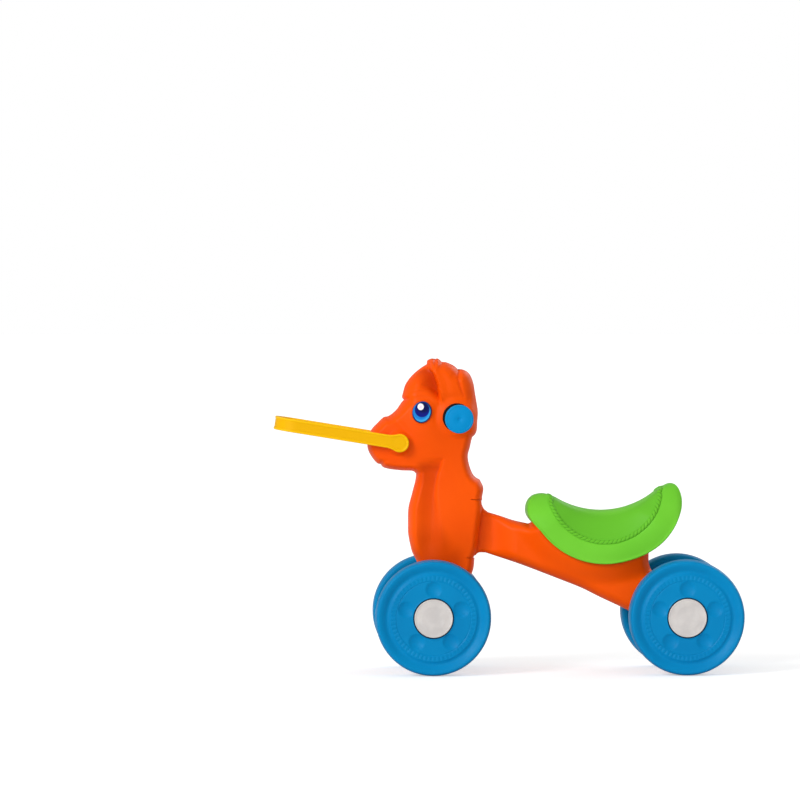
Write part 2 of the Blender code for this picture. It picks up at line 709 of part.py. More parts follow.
def screw_bores(places, side):
    """Pilot holes in the left shell, or through holes with sunk seats in the right one."""
    shank = SCREW_RADIUS + GAP
    bores = []
    for x, z in places:
        if side < 0:
            bore = rod_y(shank, -SCREW_REACH - 0.001, 0.001, x, z, SCREW_SIDES)
        else:
            head = SCREW_HEAD_RADIUS + GAP
            bore = lathe([(shank, -0.001), (shank, SCREW_SEAT), (head, SCREW_SEAT), (head, 0.090)],
                         SCREW_SIDES)
            bore.transform(Matrix.Translation((x, 0.0, z)))
        bores.append(bore)
    return joined(bores)


def shell_core(loop, half_width, edge_radius, side, spacing):
    """The mould core that leaves the wall standing."""
    height = skin_of(loop, half_width, edge_radius, WALL)
    inner = simplified(inset_loop(loop, WALL), CORE_TOLERANCE)

    def inner_edge(points):
        return edge_radius(points) - WALL
    return cutter(pillow(inner, inner_edge, height, 0.003, side, spacing), "core")


def head_shell(side, name):
    """One moulded half of the pony unit: face, neck and front axle housing."""
    obj = new_object(name, pillow(HEAD_LOOP, head_edge, head_skin, 0.0, side, HEAD_STEP), "orange_plastic")
    core = shell_core(HEAD_LOOP, head_half, head_edge, side, HEAD_STEP * 3.0)
    bar_x, bar_z = from_front(BAR_BEHIND_AXLE, BAR_ABOVE_AXLE)
    rein_x, rein_z = from_front(-REIN_AHEAD_OF_AXLE, REIN_ABOVE_AXLE)
    far = 0.080
    rods = [rod_y(BOSS_RADIUS, -far, far, x, z, SCREW_SIDES) for x, z in screw_places_head()]
    rods.append(rod_y(BAR_RADIUS + WALL, -far, far, bar_x, bar_z, ROD_SIDES))
    rods.append(rod_y(REIN_STUB_RADIUS + WALL, -far, far, rein_x, rein_z, ROD_SIDES))
    rods.append(rod_y(AXLE_BOSS_RADIUS + GAP, -far, far, FRONT_X, AXLE_Z, ROD_SIDES))
    boolean(core, cutter(joined(rods), "head_bosses"))
    block = knuckle_plan(BARREL_RADIUS + RUN_GAP + WALL, TONGUE_HALF + RUN_GAP + WALL, 0.050)
    block = prism(block, -PIN_BELOW - WALL, PIN_ABOVE + WALL, steer_placing())
    boolean(core, cutter(block, "knuckle_block"))
    front, back = FRONT_X - 0.12, FRONT_X + 0.10
    ribs = [prism([(front, -far), (back, -far), (back, far), (front, far)],
                  AXLE_Z + z, AXLE_Z + z + RIB_THICKNESS) for z in HEAD_RIBS]
    boolean(core, cutter(joined(ribs), "neck_ribs"))
    boolean(core, cutter(prism(ellipse(WALL), -EYE_SINK - WALL, 0.030, eye_placing(side)), "eye_boss"))
    boolean(obj, core)
    start = side * 0.018
    axle_boss = rod_y(AXLE_BOSS_RADIUS, start, side * AXLE_BOSS_END, FRONT_X, AXLE_Z, BAR_SIDES)
    boolean(obj, cutter(axle_boss, "axle_boss"), "UNION")
    collar_pad = rod_y(COLLAR_RADIUS - 0.0015, start, side * COLLAR_PAD, bar_x, bar_z, BAR_SIDES)
    boolean(obj, cutter(collar_pad, "collar_pad"), "UNION")
    rein_pad = rod_y(REIN_DISC_RADIUS - 0.0010, start, side * (REIN_INNER - GAP), rein_x, rein_z, REIN_SIDES)
    boolean(obj, cutter(rein_pad, "rein_pad"), "UNION")
    collar_seat = rod_y(COLLAR_RADIUS + RUN_GAP, side * COLLAR_PAD, side * far, bar_x, bar_z, BAR_SIDES)
    boolean(obj, cutter(collar_seat, "collar_seat"))
    bores = [rod_y(AXLE_RADIUS + GAP, -far, far, FRONT_X, AXLE_Z, ROD_SIDES),
             rod_y(BAR_RADIUS + GAP, -far, far, bar_x, bar_z, BAR_SIDES),
             rod_y(REIN_STUB_RADIUS + GAP, side * (REIN_INNER - REIN_STUB_LENGTH - RUN_GAP), side * far,
                   rein_x, rein_z, REIN_SIDES)]
    boolean(obj, cutter(joined(bores), "head_bores"))
    slot = knuckle_plan(BARREL_RADIUS + RUN_GAP, TONGUE_HALF + RUN_GAP, 0.055)
    boolean(obj, cutter(prism(slot, -SLOT_BELOW, SLOT_ABOVE, steer_placing()), "steering_slot"))
    pin_bore = rod_on_axis(PIN_RADIUS + GAP, -PIN_BELOW - GAP, PIN_ABOVE + GAP, ROD_SIDES)
    boolean(obj, cutter(pin_bore, "pin_bore"))
    boolean(obj, cutter(screw_bores(screw_places_head(), side), "head_screw_bores"))
    boolean(obj, cutter(prism(ellipse(GAP), -EYE_SINK, 0.030, eye_placing(side)), "eye_seat"))
    return obj


# The frame shells

def frame_edge(points):
    """How far in the beam rounds off: less at the tongue and on the cradle's seat."""
    x, _ = front_places(points)
    tongue = 1.0 - smooth_step(x, STEER_BEHIND_AXLE + 0.030, STEER_BEHIND_AXLE + 0.060)
    return BEAM_EDGE + (0.75 * TONGUE_HALF - BEAM_EDGE) * tongue


def frame_half(points):
    """Half the width of the frame: a thin tongue, the beam, and the cradle flaring under the saddle."""
    x, _ = front_places(points)
    clear = math.hypot(KNUCKLE_RADIUS, NECK_HALF)
    widening = smooth_step(x, STEER_BEHIND_AXLE + 0.92 * clear, STEER_BEHIND_AXLE + 2.1 * clear)
    width = TONGUE_HALF + (BEAM_HALF - TONGUE_HALF) * widening
    reach = np.hypot(points[:, 0] - SADDLE_X, points[:, 1] - SADDLE_Z)
    flare = 1.0 - smooth_step(reach, SKIRT_RADIUS - 0.002, SKIRT_RADIUS + 0.036)
    return width + (CRADLE_HALF - BEAM_HALF) * flare * widening


def post_places():
    """Where the saddle's posts stand: x, y and the height of their seats."""
    places = []
    for along in (-POST_SPREAD, POST_SPREAD):
        seat = SADDLE_Z - math.sqrt(CRADLE_RADIUS ** 2 - along ** 2) - POST_SEAT_DEPTH
        for side in (-1, 1):
            places.append((SADDLE_X + along, side * POST_SIDE, seat))
    return places


SADDLE_SCREW_GRIP = 0.0090  # cradle material between a saddle screw's head and the post


def saddle_screw_bores(side):
    """Stepped bores from below: for the heads, the shanks and the posts' ends."""
    bores = []
    shank, head, post = SCREW_RADIUS + GAP, SCREW_HEAD_RADIUS + GAP, POST_RADIUS + GAP
    for x, y, seat in post_places():
        if y * side < 0:
            continue
        steps = [(head, AXLE_Z - 0.02), (head, seat - SADDLE_SCREW_GRIP), (shank, seat - SADDLE_SCREW_GRIP),
                 (shank, seat), (post, seat), (post, seat + 0.030)]
        bore = lathe(steps, SCREW_SIDES)
        bore.transform(Matrix.Translation((x, y, 0.0)) @ Matrix.Rotation(math.radians(90.0), 4, "X"))
        bores.append(bore)
    return joined(bores)


def half_rod_on_axis(radius, along_from, along_to, side):
    """Half a cylinder on the steering axis, flat towards the other shell."""
    flat = GAP / 2 + 0.00005
    edge = math.asin(flat / radius)
    points = [(radius * math.cos(a), side * radius * math.sin(a))
              for a in np.linspace(edge, math.pi - edge, 9)]
    return prism(points, along_from, along_to, steer_placing())


def frame_shell(side, name):
    """One moulded half of the beam, with its steering barrel, saddle cradle and rear axle housing."""
    skin = skin_of(FRAME_LOOP, frame_half, frame_edge)
    obj = new_object(name, pillow(FRAME_LOOP, frame_edge, skin, 0.0, side, BEAM_STEP), "orange_plastic")
    core = shell_core(FRAME_LOOP, frame_half, frame_edge, side, BEAM_STEP * 2.4)
    far = 0.080
    rods = [rod_y(BOSS_RADIUS, -far, far, x, z, SCREW_SIDES) for x, z in screw_places_frame()]
    rods.append(rod_y(AXLE_BOSS_RADIUS + GAP, -far, far, REAR_X, AXLE_Z, ROD_SIDES))
    boolean(core, cutter(joined(rods), "frame_bosses"))
    tubes = [rod_z(POST_RADIUS + 0.8 * WALL, 0.0, SADDLE_Z, x, y, ROD_SIDES) for x, y, _ in post_places()
             if y * side > 0]
    boolean(core, cutter(joined(tubes), "saddle_screw_tubes"))
    boolean(core, cutter(rod_on_axis(BARREL_RADIUS + WALL, -0.09, 0.09, ROD_SIDES), "barrel_block"))
    boolean(obj, core)
    barrel = half_rod_on_axis(BARREL_RADIUS, -SLOT_BELOW + RUN_GAP, SLOT_ABOVE - RUN_GAP, side)
    boolean(obj, cutter(barrel, "barrel"), "UNION")
    axle_boss = rod_y(AXLE_BOSS_RADIUS, side * 0.018, side * AXLE_BOSS_END, REAR_X, AXLE_Z, BAR_SIDES)
    boolean(obj, cutter(axle_boss, "rear_axle_boss"), "UNION")
    boolean(obj, cutter(rod_y(AXLE_RADIUS + GAP, -far, far, REAR_X, AXLE_Z, ROD_SIDES), "rear_axle_bore"))
    bush = PIN_RADIUS + GAP + BUSH_WALL
    boolean(obj, cutter(rod_on_axis(bush + GAP, -0.060, 0.060, ROD_SIDES), "bush_bore"))
    boolean(obj, cutter(screw_bores(screw_places_frame(), side), "frame_screw_bores"))
    boolean(obj, cutter(saddle_screw_bores(side), "saddle_screw_bores"))
    return obj


# The saddle

def saddle_half(angle):
    """Half the saddle's width, growing from front to rear."""
    t = (angle - SADDLE_FRONT_ANGLE) / (SADDLE_REAR_ANGLE - SADDLE_FRONT_ANGLE)
    return SADDLE_FRONT_HALF + (SADDLE_REAR_HALF - SADDLE_FRONT_HALF) * t


def crown_radius(angle):
    """How far the crown's arc is from the saddle's centre, in one direction."""
    ahead = math.sin(angle) * SEAT_TOP_CENTRE[0] - math.cos(angle) * SEAT_TOP_CENTRE[1]
    apart = SEAT_TOP_CENTRE[0] ** 2 + SEAT_TOP_CENTRE[1] ** 2
    return ahead + math.sqrt(ahead * ahead - apart + SEAT_TOP_RADIUS ** 2)


def skirt_radius(angle):
    """How far out the saddle's bottom edge is: a little further at the tips."""
    return SKIRT_RADIUS + TIP_FLARE * float(smooth_step(abs(angle), math.radians(48.0), math.radians(72.0)))


def tip_fade(angle):
    """1 along the band, falling to 0 where its ends round off."""
    from_ends = min((angle - SADDLE_FRONT_ANGLE) / FRONT_TIP, (SADDLE_REAR_ANGLE - angle) / REAR_TIP)
    u = max(0.0, 1.0 - from_ends)
    return (1.0 - u ** 2.3) ** (1.0 / 2.3)


def saddle_section(angle, inset, low, steps):
    """One cross-section of the saddle: bottom edge, skirt, crown and back down, as (radius, y)."""
    top = crown_radius(angle) + inset
    edge = max(SEAT_EDGE_RADIUS, crown_radius(angle) + 0.010) + 0.3 * inset
    half = saddle_half(angle) - inset
    belly = edge + 0.55 * (low - edge)
    points = [(low, half), (belly, half + 0.0005)]
    for a in np.linspace(0.0, math.pi, steps + 1):
        points.append((edge - (edge - top) * math.sin(a) ** 0.9, half * math.cos(a)))
    return points + [(belly, -half - 0.0005), (low, -half)]


def saddle_band(angles, inset, steps):
    """The band through its cross-sections: the saddle itself, or with an inset the core of its hollow."""
    rings = []
    for angle in angles:
        low = SKIRT_RADIUS + TIP_FLARE + 0.006 if inset else skirt_radius(angle)
        fade = 1.0 if inset else tip_fade(angle)
        section = saddle_section(angle, inset, low, steps)
        middle = (section[0][0] + section[len(section) // 2][0]) / 2
        ring = []
        for radius, y in section:
            x, z = from_saddle(angle, middle + (radius - middle) * fade)
            ring.append((x, y * (0.45 + 0.55 * fade), z))
        rings.append(ring)
    count = len(rings[0])
    vertices = [v for ring in rings for v in ring]
    faces = [list(range(count)), [len(vertices) - count + k for k in range(count)]]
    for r in range(len(rings) - 1):
        for k in range(count):
            n = (k + 1) % count
            faces.append([r * count + k, r * count + n, (r + 1) * count + n, (r + 1) * count + k])
    return mesh_from(vertices, faces)


def saddle():
    """The saddle: open below between solid tips, with cross webs and four posts into the cradle."""
    tips = (0.010, 0.12, 0.42)
    angles = [SADDLE_FRONT_ANGLE + FRONT_TIP * t for t in tips]
    angles += list(np.linspace(SADDLE_FRONT_ANGLE + FRONT_TIP, SADDLE_REAR_ANGLE - REAR_TIP, 10))
    angles += [SADDLE_REAR_ANGLE - REAR_TIP * t for t in reversed(tips)]
    obj = new_object("saddle", saddle_band(angles, 0.0, 8), "green_plastic")
    hollow = np.linspace(CRADLE_FRONT_ANGLE - 2 * SADDLE_WALL / SKIRT_RADIUS, HOLLOW_REAR_ANGLE, 7)
    core = cutter(saddle_band(hollow, SADDLE_WALL, 4), "saddle_core")
    webs = []
    for along in (-POST_SPREAD, POST_SPREAD):
        corners = []
        for x in (along - RIB_THICKNESS / 2, along + RIB_THICKNESS / 2):
            corners.append((SADDLE_X + x, SADDLE_Z - math.sqrt((CRADLE_RADIUS - GAP) ** 2 - x * x)))
        corners += [(corners[1][0], SADDLE_Z), (corners[0][0], SADDLE_Z)]
        webs.append(side_prism(corners, -0.09, 0.09))
    boolean(core, cutter(joined(webs), "saddle_webs"))
    posts = [rod_z(POST_RADIUS, seat + GAP, SADDLE_Z, x, y, SCREW_SIDES) for x, y, seat in post_places()]
    boolean(core, cutter(joined(posts), "saddle_posts"))
    boolean(obj, core)
    pilots = [rod_z(SCREW_RADIUS + GAP, seat - 0.001, seat + 0.014, x, y, SCREW_SIDES)
              for x, y, seat in post_places()]
    boolean(obj, cutter(joined(pilots), "saddle_pilots"))
    return obj


# Wheels and axles

def wheel_profile():
    """The wheel's section from the bore round the outer face, the tread and the inner face."""
    rim = WHEEL_RADIUS / math.cos(math.pi / WHEEL_SEGMENTS)
    half = WHEEL_WIDTH / 2
    face = DISC_FACE
    recess = CAP_RADIUS + CAP_RECESS_GAP
    band = WHEEL_RADIUS - TYRE_BAND
    crest = WHEEL_RADIUS - 0.40 * TYRE_BAND
    bore = AXLE_RADIUS + GAP
    outer = [(bore, NUT_FLOOR), (NUT_RADIUS + 0.0010, NUT_FLOOR), (NUT_RADIUS + 0.0010, CAP_FLOOR),
             (recess, CAP_FLOOR), (recess, face), (band - 0.0010, face), (crest, half),
             (rim - 0.0040, half - 0.0035), (rim, TREAD_FLAT / 2)]
    inner = [(rim, -TREAD_FLAT / 2), (rim - 0.0040, 0.0035 - half), (crest, -half),
             (band - 0.0010, -face), (bore, -face)]
    return outer + inner


def dimple_cutter(side):
    """Dished cutters for the ring of round dimples, the first one at the top."""
    face = DISC_FACE
    dish = [(0.60 * DIMPLE_RADIUS, face - DIMPLE_DEPTH), (DIMPLE_RADIUS, face),
            (DIMPLE_RADIUS, face + 0.002)]
    cutters = []
    for k in range(DIMPLE_COUNT):
        angle = 2 * math.pi * k / DIMPLE_COUNT
        mesh = lathe([(r, side * y) for r, y in dish], 8)
        x, z = DIMPLE_PITCH * math.sin(angle), DIMPLE_PITCH * math.cos(angle)
        mesh.transform(Matrix.Translation((x, 0.0, z)))
        cutters.append(mesh)
    return joined(cutters)


def wheel_set(end, x, side, word):
    """A wheel with its cap, the push nut that keeps it on and the washer behind it."""
    y = side * TRACK / 2
    place = (x, y, AXLE_Z)
    profile = [(r, side * a) for r, a in wheel_profile()]
    wheel = new_object(f"wheel_{end}_{word}", lathe(profile, WHEEL_SEGMENTS, True), "blue_plastic", 28.0)
    wheel.location = place
    dimples = cutter(dimple_cutter(side), f"dimples_{end}_{word}")
    dimples.location = place
    boolean(wheel, dimples)
    back, front = CAP_FLOOR + GAP, CAP_FACE
    cap = lathe([(CAP_RADIUS, side * back), (CAP_RADIUS, side * (front - 0.0008)),
                 (CAP_RADIUS - 0.0010, side * front)], 16)
    cap_object = new_object(f"hub_cap_{end}_{word}", cap, "silver_plastic")
    nut = lathe([(AXLE_RADIUS + GAP, side * (NUT_FLOOR + GAP)), (NUT_RADIUS, side * (NUT_FLOOR + GAP)),
                 (AXLE_RADIUS + 0.0018, side * (NUT_FLOOR + NUT_THICKNESS)),
                 (AXLE_RADIUS + GAP, side * (NUT_FLOOR + NUT_THICKNESS))], ROD_SIDES, True)
    nut_object = new_object(f"push_nut_{end}_{word}", nut, "steel")
    low = -DISC_FACE - GAP
    washer = lathe([(AXLE_RADIUS + GAP, side * low), (WASHER_RADIUS, side * low),
                    (WASHER_RADIUS, side * (low - WASHER_THICKNESS)),
                    (AXLE_RADIUS + GAP, side * (low - WASHER_THICKNESS))], ROD_SIDES, True)
    washer_object = new_object(f"washer_{end}_{word}", washer, "white_nylon")
    for obj in (cap_object, nut_object, washer_object):
        obj.location = place


def axle(end, x):
    """A steel rod with chamfered ends."""
    chamfer = 0.0010
    profile = [(AXLE_RADIUS - chamfer, -AXLE_HALF), (AXLE_RADIUS, chamfer - AXLE_HALF),
               (AXLE_RADIUS, AXLE_HALF - chamfer), (AXLE_RADIUS - chamfer, AXLE_HALF)]
    obj = new_object(f"axle_{end}", lathe(profile, ROD_SIDES), "steel")
    obj.location = (x, 0.0, AXLE_Z)


def steering_hardware():
    """The pin held by the neck's shells, and the bush in the frame's barrel that turns on it."""
    chamfer = 0.0010
    profile = [(PIN_RADIUS - chamfer, -PIN_BELOW), (PIN_RADIUS, chamfer - PIN_BELOW),
               (PIN_RADIUS, PIN_ABOVE - chamfer), (PIN_RADIUS - chamfer, PIN_ABOVE)]
    pin = new_object("steering_pin", lathe(profile, ROD_SIDES), "steel")
    low, high = -SLOT_BELOW + RUN_GAP, SLOT_ABOVE - RUN_GAP
    inner, outer = PIN_RADIUS + GAP, PIN_RADIUS + GAP + BUSH_WALL
    bush = new_object("steering_bush", lathe([(inner, low), (outer, low), (outer, high), (inner, high)],
                                             ROD_SIDES, True), "white_nylon")
    for obj in (pin, bush):
        obj.matrix_world = to_steer_axis()


# Handlebar, grips and eyes

def handlebar():
    """The steel tube through the head."""
    inner = BAR_RADIUS - BAR_WALL
    tube = lathe([(inner, -BAR_HALF_LENGTH), (BAR_RADIUS, -BAR_HALF_LENGTH), (BAR_RADIUS, BAR_HALF_LENGTH),
                  (inner, BAR_HALF_LENGTH)], BAR_SIDES, True)
    obj = new_object("handlebar", tube, "steel")
    x, z = from_front(BAR_BEHIND_AXLE, BAR_ABOVE_AXLE)
    obj.location = (x, 0.0, z)


def grip(side, word):
    """A grip with finger ribs and a large round end, and the collar between it and the head."""
    bore = BAR_RADIUS + GAP
    start = COLLAR_PAD + COLLAR_THICKNESS + 2 * GAP
    disc = GRIP_END - GRIP_DISC_THICKNESS
    profile = [(bore, BAR_HALF_LENGTH + GAP), (bore, start), (GRIP_RADIUS, start)]
    pitch = (disc - start) / (GRIP_RIB_COUNT + 1)
    for k in range(GRIP_RIB_COUNT):
        middle = start + (k + 1) * pitch
        profile += [(GRIP_RADIUS, middle - 0.30 * pitch), (GRIP_RADIUS + GRIP_RIB_RISE, middle)]
    profile += [(GRIP_RADIUS, disc - 0.0030), (GRIP_DISC_RADIUS, disc + 0.0025),
                (GRIP_DISC_RADIUS, GRIP_END - 0.0025), (GRIP_DISC_RADIUS - 0.0025, GRIP_END)]
    turned = lathe([(r, side * y) for r, y in profile], BAR_SIDES)
    grip_object = new_object(f"grip_{word}", turned, "blue_plastic")
    inner, outer = COLLAR_PAD + GAP, COLLAR_PAD + GAP + COLLAR_THICKNESS
    ring = [(bore, inner), (COLLAR_RADIUS, inner), (COLLAR_RADIUS - 0.0010, outer), (bore, outer)]
    turned = lathe([(r, side * y) for r, y in ring], BAR_SIDES, True)
    collar = new_object(f"grip_collar_{word}", turned, "black_plastic")
    x, z = from_front(BAR_BEHIND_AXLE, BAR_ABOVE_AXLE)
    for obj in (grip_object, collar):
        obj.location = (x, 0.0, z)


def eye(side, word):
    """A domed oval button that sits in its pocket in the face."""
    rings = [(1.0, -EYE_SINK + GAP), (1.0, -0.0008), (0.84, 0.35 * EYE_CROWN), (0.45, 0.85 * EYE_CROWN)]
    outline = ellipse()
    count = len(outline)
    vertices = [(x * f, y * f, h) for f, h in rings for x, y in outline] + [(0.0, 0.0, EYE_CROWN)]
    faces = [list(range(count))]
    for r in range(len(rings) - 1):
        for k in range(count):
            n = (k + 1) % count
            faces.append([r * count + k, r * count + n, (r + 1) * count + n, (r + 1) * count + k])
    last = (len(rings) - 1) * count
    faces += [[last + k, last + (k + 1) % count, len(vertices) - 1] for k in range(count)]
    obj = new_object(f"eye_{word}", mesh_from(vertices, faces), "eye_plastic")
    obj.matrix_world = eye_placing(side)


# The rein handle

def rein_plan():
    """The U of the handle from above, the pivots at x = 0 and the grip in front at -X."""
    outer_y = REIN_INNER + REIN_THICKNESS
    corner = REIN_REACH - REIN_CORNER
    bend = np.linspace(0.0, math.pi / 2, 6)
    outer = [(-corner - REIN_CORNER * math.sin(a), outer_y - REIN_CORNER + REIN_CORNER * math.cos(a))
             for a in bend]
    tight = REIN_CORNER - REIN_THICKNESS
    inner = [(-corner - tight * math.sin(a), REIN_INNER - tight + tight * math.cos(a)) for a in bend]
    right = [(0.0, outer_y)] + outer
    left = [(x, -y) for x, y in reversed(right)]
    inner_right = [(0.0, REIN_INNER)] + inner
    inner_left = [(x, -y) for x, y in reversed(inner_right)]
    return right + left + inner_left[::-1] + inner_right[::-1]


def rein_handle():
    """The U-shaped pull handle, whose moulded stubs snap into the sides of the muzzle."""
    obj = new_object("rein_handle", prism(rein_plan(), -REIN_HEIGHT / 2, REIN_HEIGHT / 2), "yellow_plastic")
    bevel = obj.modifiers.new("edge", "BEVEL")
    bevel.width = REIN_EDGE
    bevel.segments = 1
    bevel.limit_method = "ANGLE"
    bevel.angle_limit = math.radians(50.0)
    pieces = []
    x, z = from_front(-REIN_AHEAD_OF_AXLE, REIN_ABOVE_AXLE)
    placing = Matrix.Translation((x, 0.0, z)) @ Matrix.Rotation(REIN_TILT, 4, "Y")
    soft = 0.0012
    for side in (-1, 1):
        inside, outside = REIN_INNER, REIN_INNER + REIN_THICKNESS
        profile = [(REIN_STUB_RADIUS - soft, inside - REIN_STUB_LENGTH),
                   (REIN_STUB_RADIUS, inside - REIN_STUB_LENGTH + soft), (REIN_STUB_RADIUS, inside),
                   (REIN_DISC_RADIUS, inside), (REIN_DISC_RADIUS, outside - soft + 0.0006),
                   (REIN_DISC_RADIUS - soft, outside + 0.0006)]
        pieces.append(lathe([(r, side * y) for r, y in profile], REIN_SIDES))
    discs = cutter(joined(pieces), "rein_discs")
    boolean(obj, discs, "UNION")
    obj.matrix_world = placing
    discs.matrix_world = placing


# Screws

def screw_profile(reach):
    """A pan head at 0 and below, and its shank upwards to the reach."""
    return [(0.75 * SCREW_HEAD_RADIUS, -SCREW_HEAD_HEIGHT), (SCREW_HEAD_RADIUS, 0.0), (SCREW_RADIUS, 0.0),
            (SCREW_RADIUS, reach)]


def screws():
    """The shells' screws, driven from the right, and the saddle's, driven from below."""
    groups = [("head_screw", screw_places_head()), ("frame_screw", screw_places_frame())]
    seat = SCREW_SEAT + GAP
    for name, places in groups:
        for number, (x, z) in enumerate(places, 1):
            mesh = lathe([(r, seat - y) for r, y in screw_profile(seat + SCREW_REACH)], SCREW_SIDES)
            obj = new_object(f"{name}_{number}", mesh, "steel")
            obj.location = (x, 0.0, z)
    for number, (x, y, height) in enumerate(post_places(), 1):
        mesh = lathe(screw_profile(SADDLE_SCREW_GRIP + 0.012), SCREW_SIDES)
        obj = new_object(f"saddle_screw_{number}", mesh, "steel")
        obj.matrix_world = Matrix.Translation((x, y, height - SADDLE_SCREW_GRIP - GAP)) \
            @ Matrix.Rotation(math.radians(90.0), 4, "X")


def main():
    for obj in list(bpy.data.objects):
        bpy.data.objects.remove(obj, do_unlink=True)
    for side, word in ((-1, "left"), (1, "right")):
        head_shell(side, f"head_shell_{word}")
        frame_shell(side, f"frame_shell_{word}")
        wheel_set("front", FRONT_X, side, word)
        wheel_set("rear", REAR_X, side, word)
        grip(side, word)
        eye(side, word)
    axle("front", FRONT_X)
    axle("rear", REAR_X)
    steering_hardware()
    handlebar()
    rein_handle()
    saddle()
    screws()


main()
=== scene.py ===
"""The looks of the pony balance bike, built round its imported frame.

Metres, +Z up, floor at z = 0. The pony looks along -X, and its left side faces -Y.
"""
import math

import bpy
import numpy as np
from mathutils import Matrix, Vector


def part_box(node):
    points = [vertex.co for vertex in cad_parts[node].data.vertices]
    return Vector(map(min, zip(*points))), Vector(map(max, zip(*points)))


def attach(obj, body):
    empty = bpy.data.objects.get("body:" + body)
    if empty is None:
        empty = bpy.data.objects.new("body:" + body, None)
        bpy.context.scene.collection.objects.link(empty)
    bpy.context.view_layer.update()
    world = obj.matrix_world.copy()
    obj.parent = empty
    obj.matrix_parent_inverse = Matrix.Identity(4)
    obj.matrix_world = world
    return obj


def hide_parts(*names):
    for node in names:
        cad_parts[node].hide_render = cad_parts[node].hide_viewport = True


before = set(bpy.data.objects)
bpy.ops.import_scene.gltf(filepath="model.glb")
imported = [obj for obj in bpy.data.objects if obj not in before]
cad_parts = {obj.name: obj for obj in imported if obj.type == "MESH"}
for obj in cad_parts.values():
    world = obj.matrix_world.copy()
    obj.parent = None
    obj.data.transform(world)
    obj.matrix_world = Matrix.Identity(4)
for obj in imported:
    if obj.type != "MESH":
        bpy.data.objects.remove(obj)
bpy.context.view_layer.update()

SIDES = ((-1, "left"), (1, "right"))
AT_ONCE = 1500  # how many points are measured in one go

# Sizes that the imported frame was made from. Places in the side view are from the front axle.
SEAM = 0.00015  # half the gap between two moulded halves
TRACK_HALF = 0.086
WHEEL_RADIUS = 0.090
WHEEL_HALF = 0.024
DISC_FACE = 0.0205
CAP_RADIUS = 0.0298
CAP_RING = 0.0312
CAP_FLOOR = 0.0172
CAP_FACE = 0.0215
NUT_FLOOR = 0.0117
NUT_WELL = 0.0110
AXLE_HOLE = 0.0053
AXLE_BOSS = 0.0140
AXLE_BOSS_END = 0.0629
HOUSING = 0.0260  # the radius of both axle housings
DIMPLES = 5
DIMPLE_PITCH = 0.0450
DIMPLE_RADIUS = 0.0123
DIMPLE_DEPTH = 0.0034
TICKS, TICK_HEIGHT = 60, 0.0007
STEER_X, STEER_Z = 0.0602, 0.135  # a place on the steering axis
STEER_TILT = math.radians(7.0)
STEER_OPEN = math.radians(32.0)
KNUCKLE = 0.0137
BARREL = 0.0120
BARREL_LOW, BARREL_TALL = -0.0450, 0.0910  # along the steering axis
BUSH_HOLE = 0.0066
TONGUE_HALF = 0.0090
NECK_HALF = 0.0330
CHEEK_HALF = 0.0420
MUZZLE_HALF = 0.0355
CHEST_HALF = 0.0370
BEAM_HALF = 0.0260
CRADLE_HALF = 0.0450
CRADLE_RADIUS = 0.1110
CRADLE_FRONT = math.radians(-61.0)
SKIRT_RADIUS = 0.1230
SEAT_EDGE = 0.0875
EDGE_OUT = 0.0045  # how far the seat's edge stays outside its crown
BAR = (0.0389, 0.3102)
BAR_HOLE = 0.0083
COLLAR_RADIUS = 0.0225
COLLAR_PAD = 0.0425
GRIP_START = 0.0471
RIB_PITCH, RIB_HEIGHT = 0.0121, 0.0012
GRIP_RADIUS = 0.0145
GRIP_BORE_END = 0.1203
GRIP_DISC = 0.1190
GRIP_END = 0.1300
EYE = (-0.0159, 0.3187)
EYE_HALF = (0.0148, 0.0170)
EYE_LEAN = math.radians(17.0)
REIN = (-0.0509, 0.2706)
REIN_TILT = math.radians(9.2)
REIN_INNER = 0.0438
REIN_THICK = 0.0080
REIN_HALF = 0.01025  # half the height of the bar
REIN_REACH = 0.1940
REIN_CORNER = 0.0290
REIN_DISC = 0.0144
REIN_NECK = -0.0065  # where the disc ends and the arm starts, from the pivot
REIN_HOLE = 0.0068
SCREW_SEAT = 0.0120
SCREW_HEAD_HOLE = 0.0042


def middle(node):
    """The middle of a node's box."""
    low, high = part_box(node)
    return (low + high) / 2


FRONT_X = middle("wheel_front_left").x
REAR_X = middle("wheel_rear_left").x
AXLE_Z = middle("wheel_front_left").z
SADDLE_X = REAR_X - 0.1247
SADDLE_Z = AXLE_Z + 0.2040
FRONT_AXLE = np.array([FRONT_X, AXLE_Z])
STEER_FOOT = Vector((FRONT_X + STEER_X, 0.0, AXLE_Z + STEER_Z))
STEER_UP = Vector((math.sin(STEER_TILT), 0.0, math.cos(STEER_TILT)))
STEER_PLACE = Matrix.Translation(STEER_FOOT) @ Matrix.Rotation(STEER_TILT, 4, "Y")


def from_front(x, z):
    """A place in the side view, measured from the front axle."""
    return (FRONT_X + x, AXLE_Z + z)


def from_rear(x, z):
    """A place in the side view, measured from the rear axle."""
    return (REAR_X + x, AXLE_Z + z)


def all_from(measure, *places):
    """Several places that are measured alike."""
    return [measure(*place) for place in places]


def from_saddle(angle, radius):
    """A place in the side view round the saddle's centre, angle 0 straight down."""
    return (SADDLE_X + radius * math.sin(angle), SADDLE_Z - radius * math.cos(angle))


def on_steer_axis(along):
    """A place in the side view on the steering axis."""
    place = STEER_FOOT + STEER_UP * along
    return (place.x, place.z)


def neck_back(up, proud=0.0):
    """The back edge of the neck, which runs along the steering axis."""
    return (STEER_X + (up - STEER_Z) * math.tan(STEER_TILT) + KNUCKLE / math.cos(STEER_TILT) + proud, up)


def arc(radius, start, stop, count):
    """Points on an arc round the origin."""
    return [(radius * math.cos(a), radius * math.sin(a)) for a in np.linspace(start, stop, count)]


# The hand tools

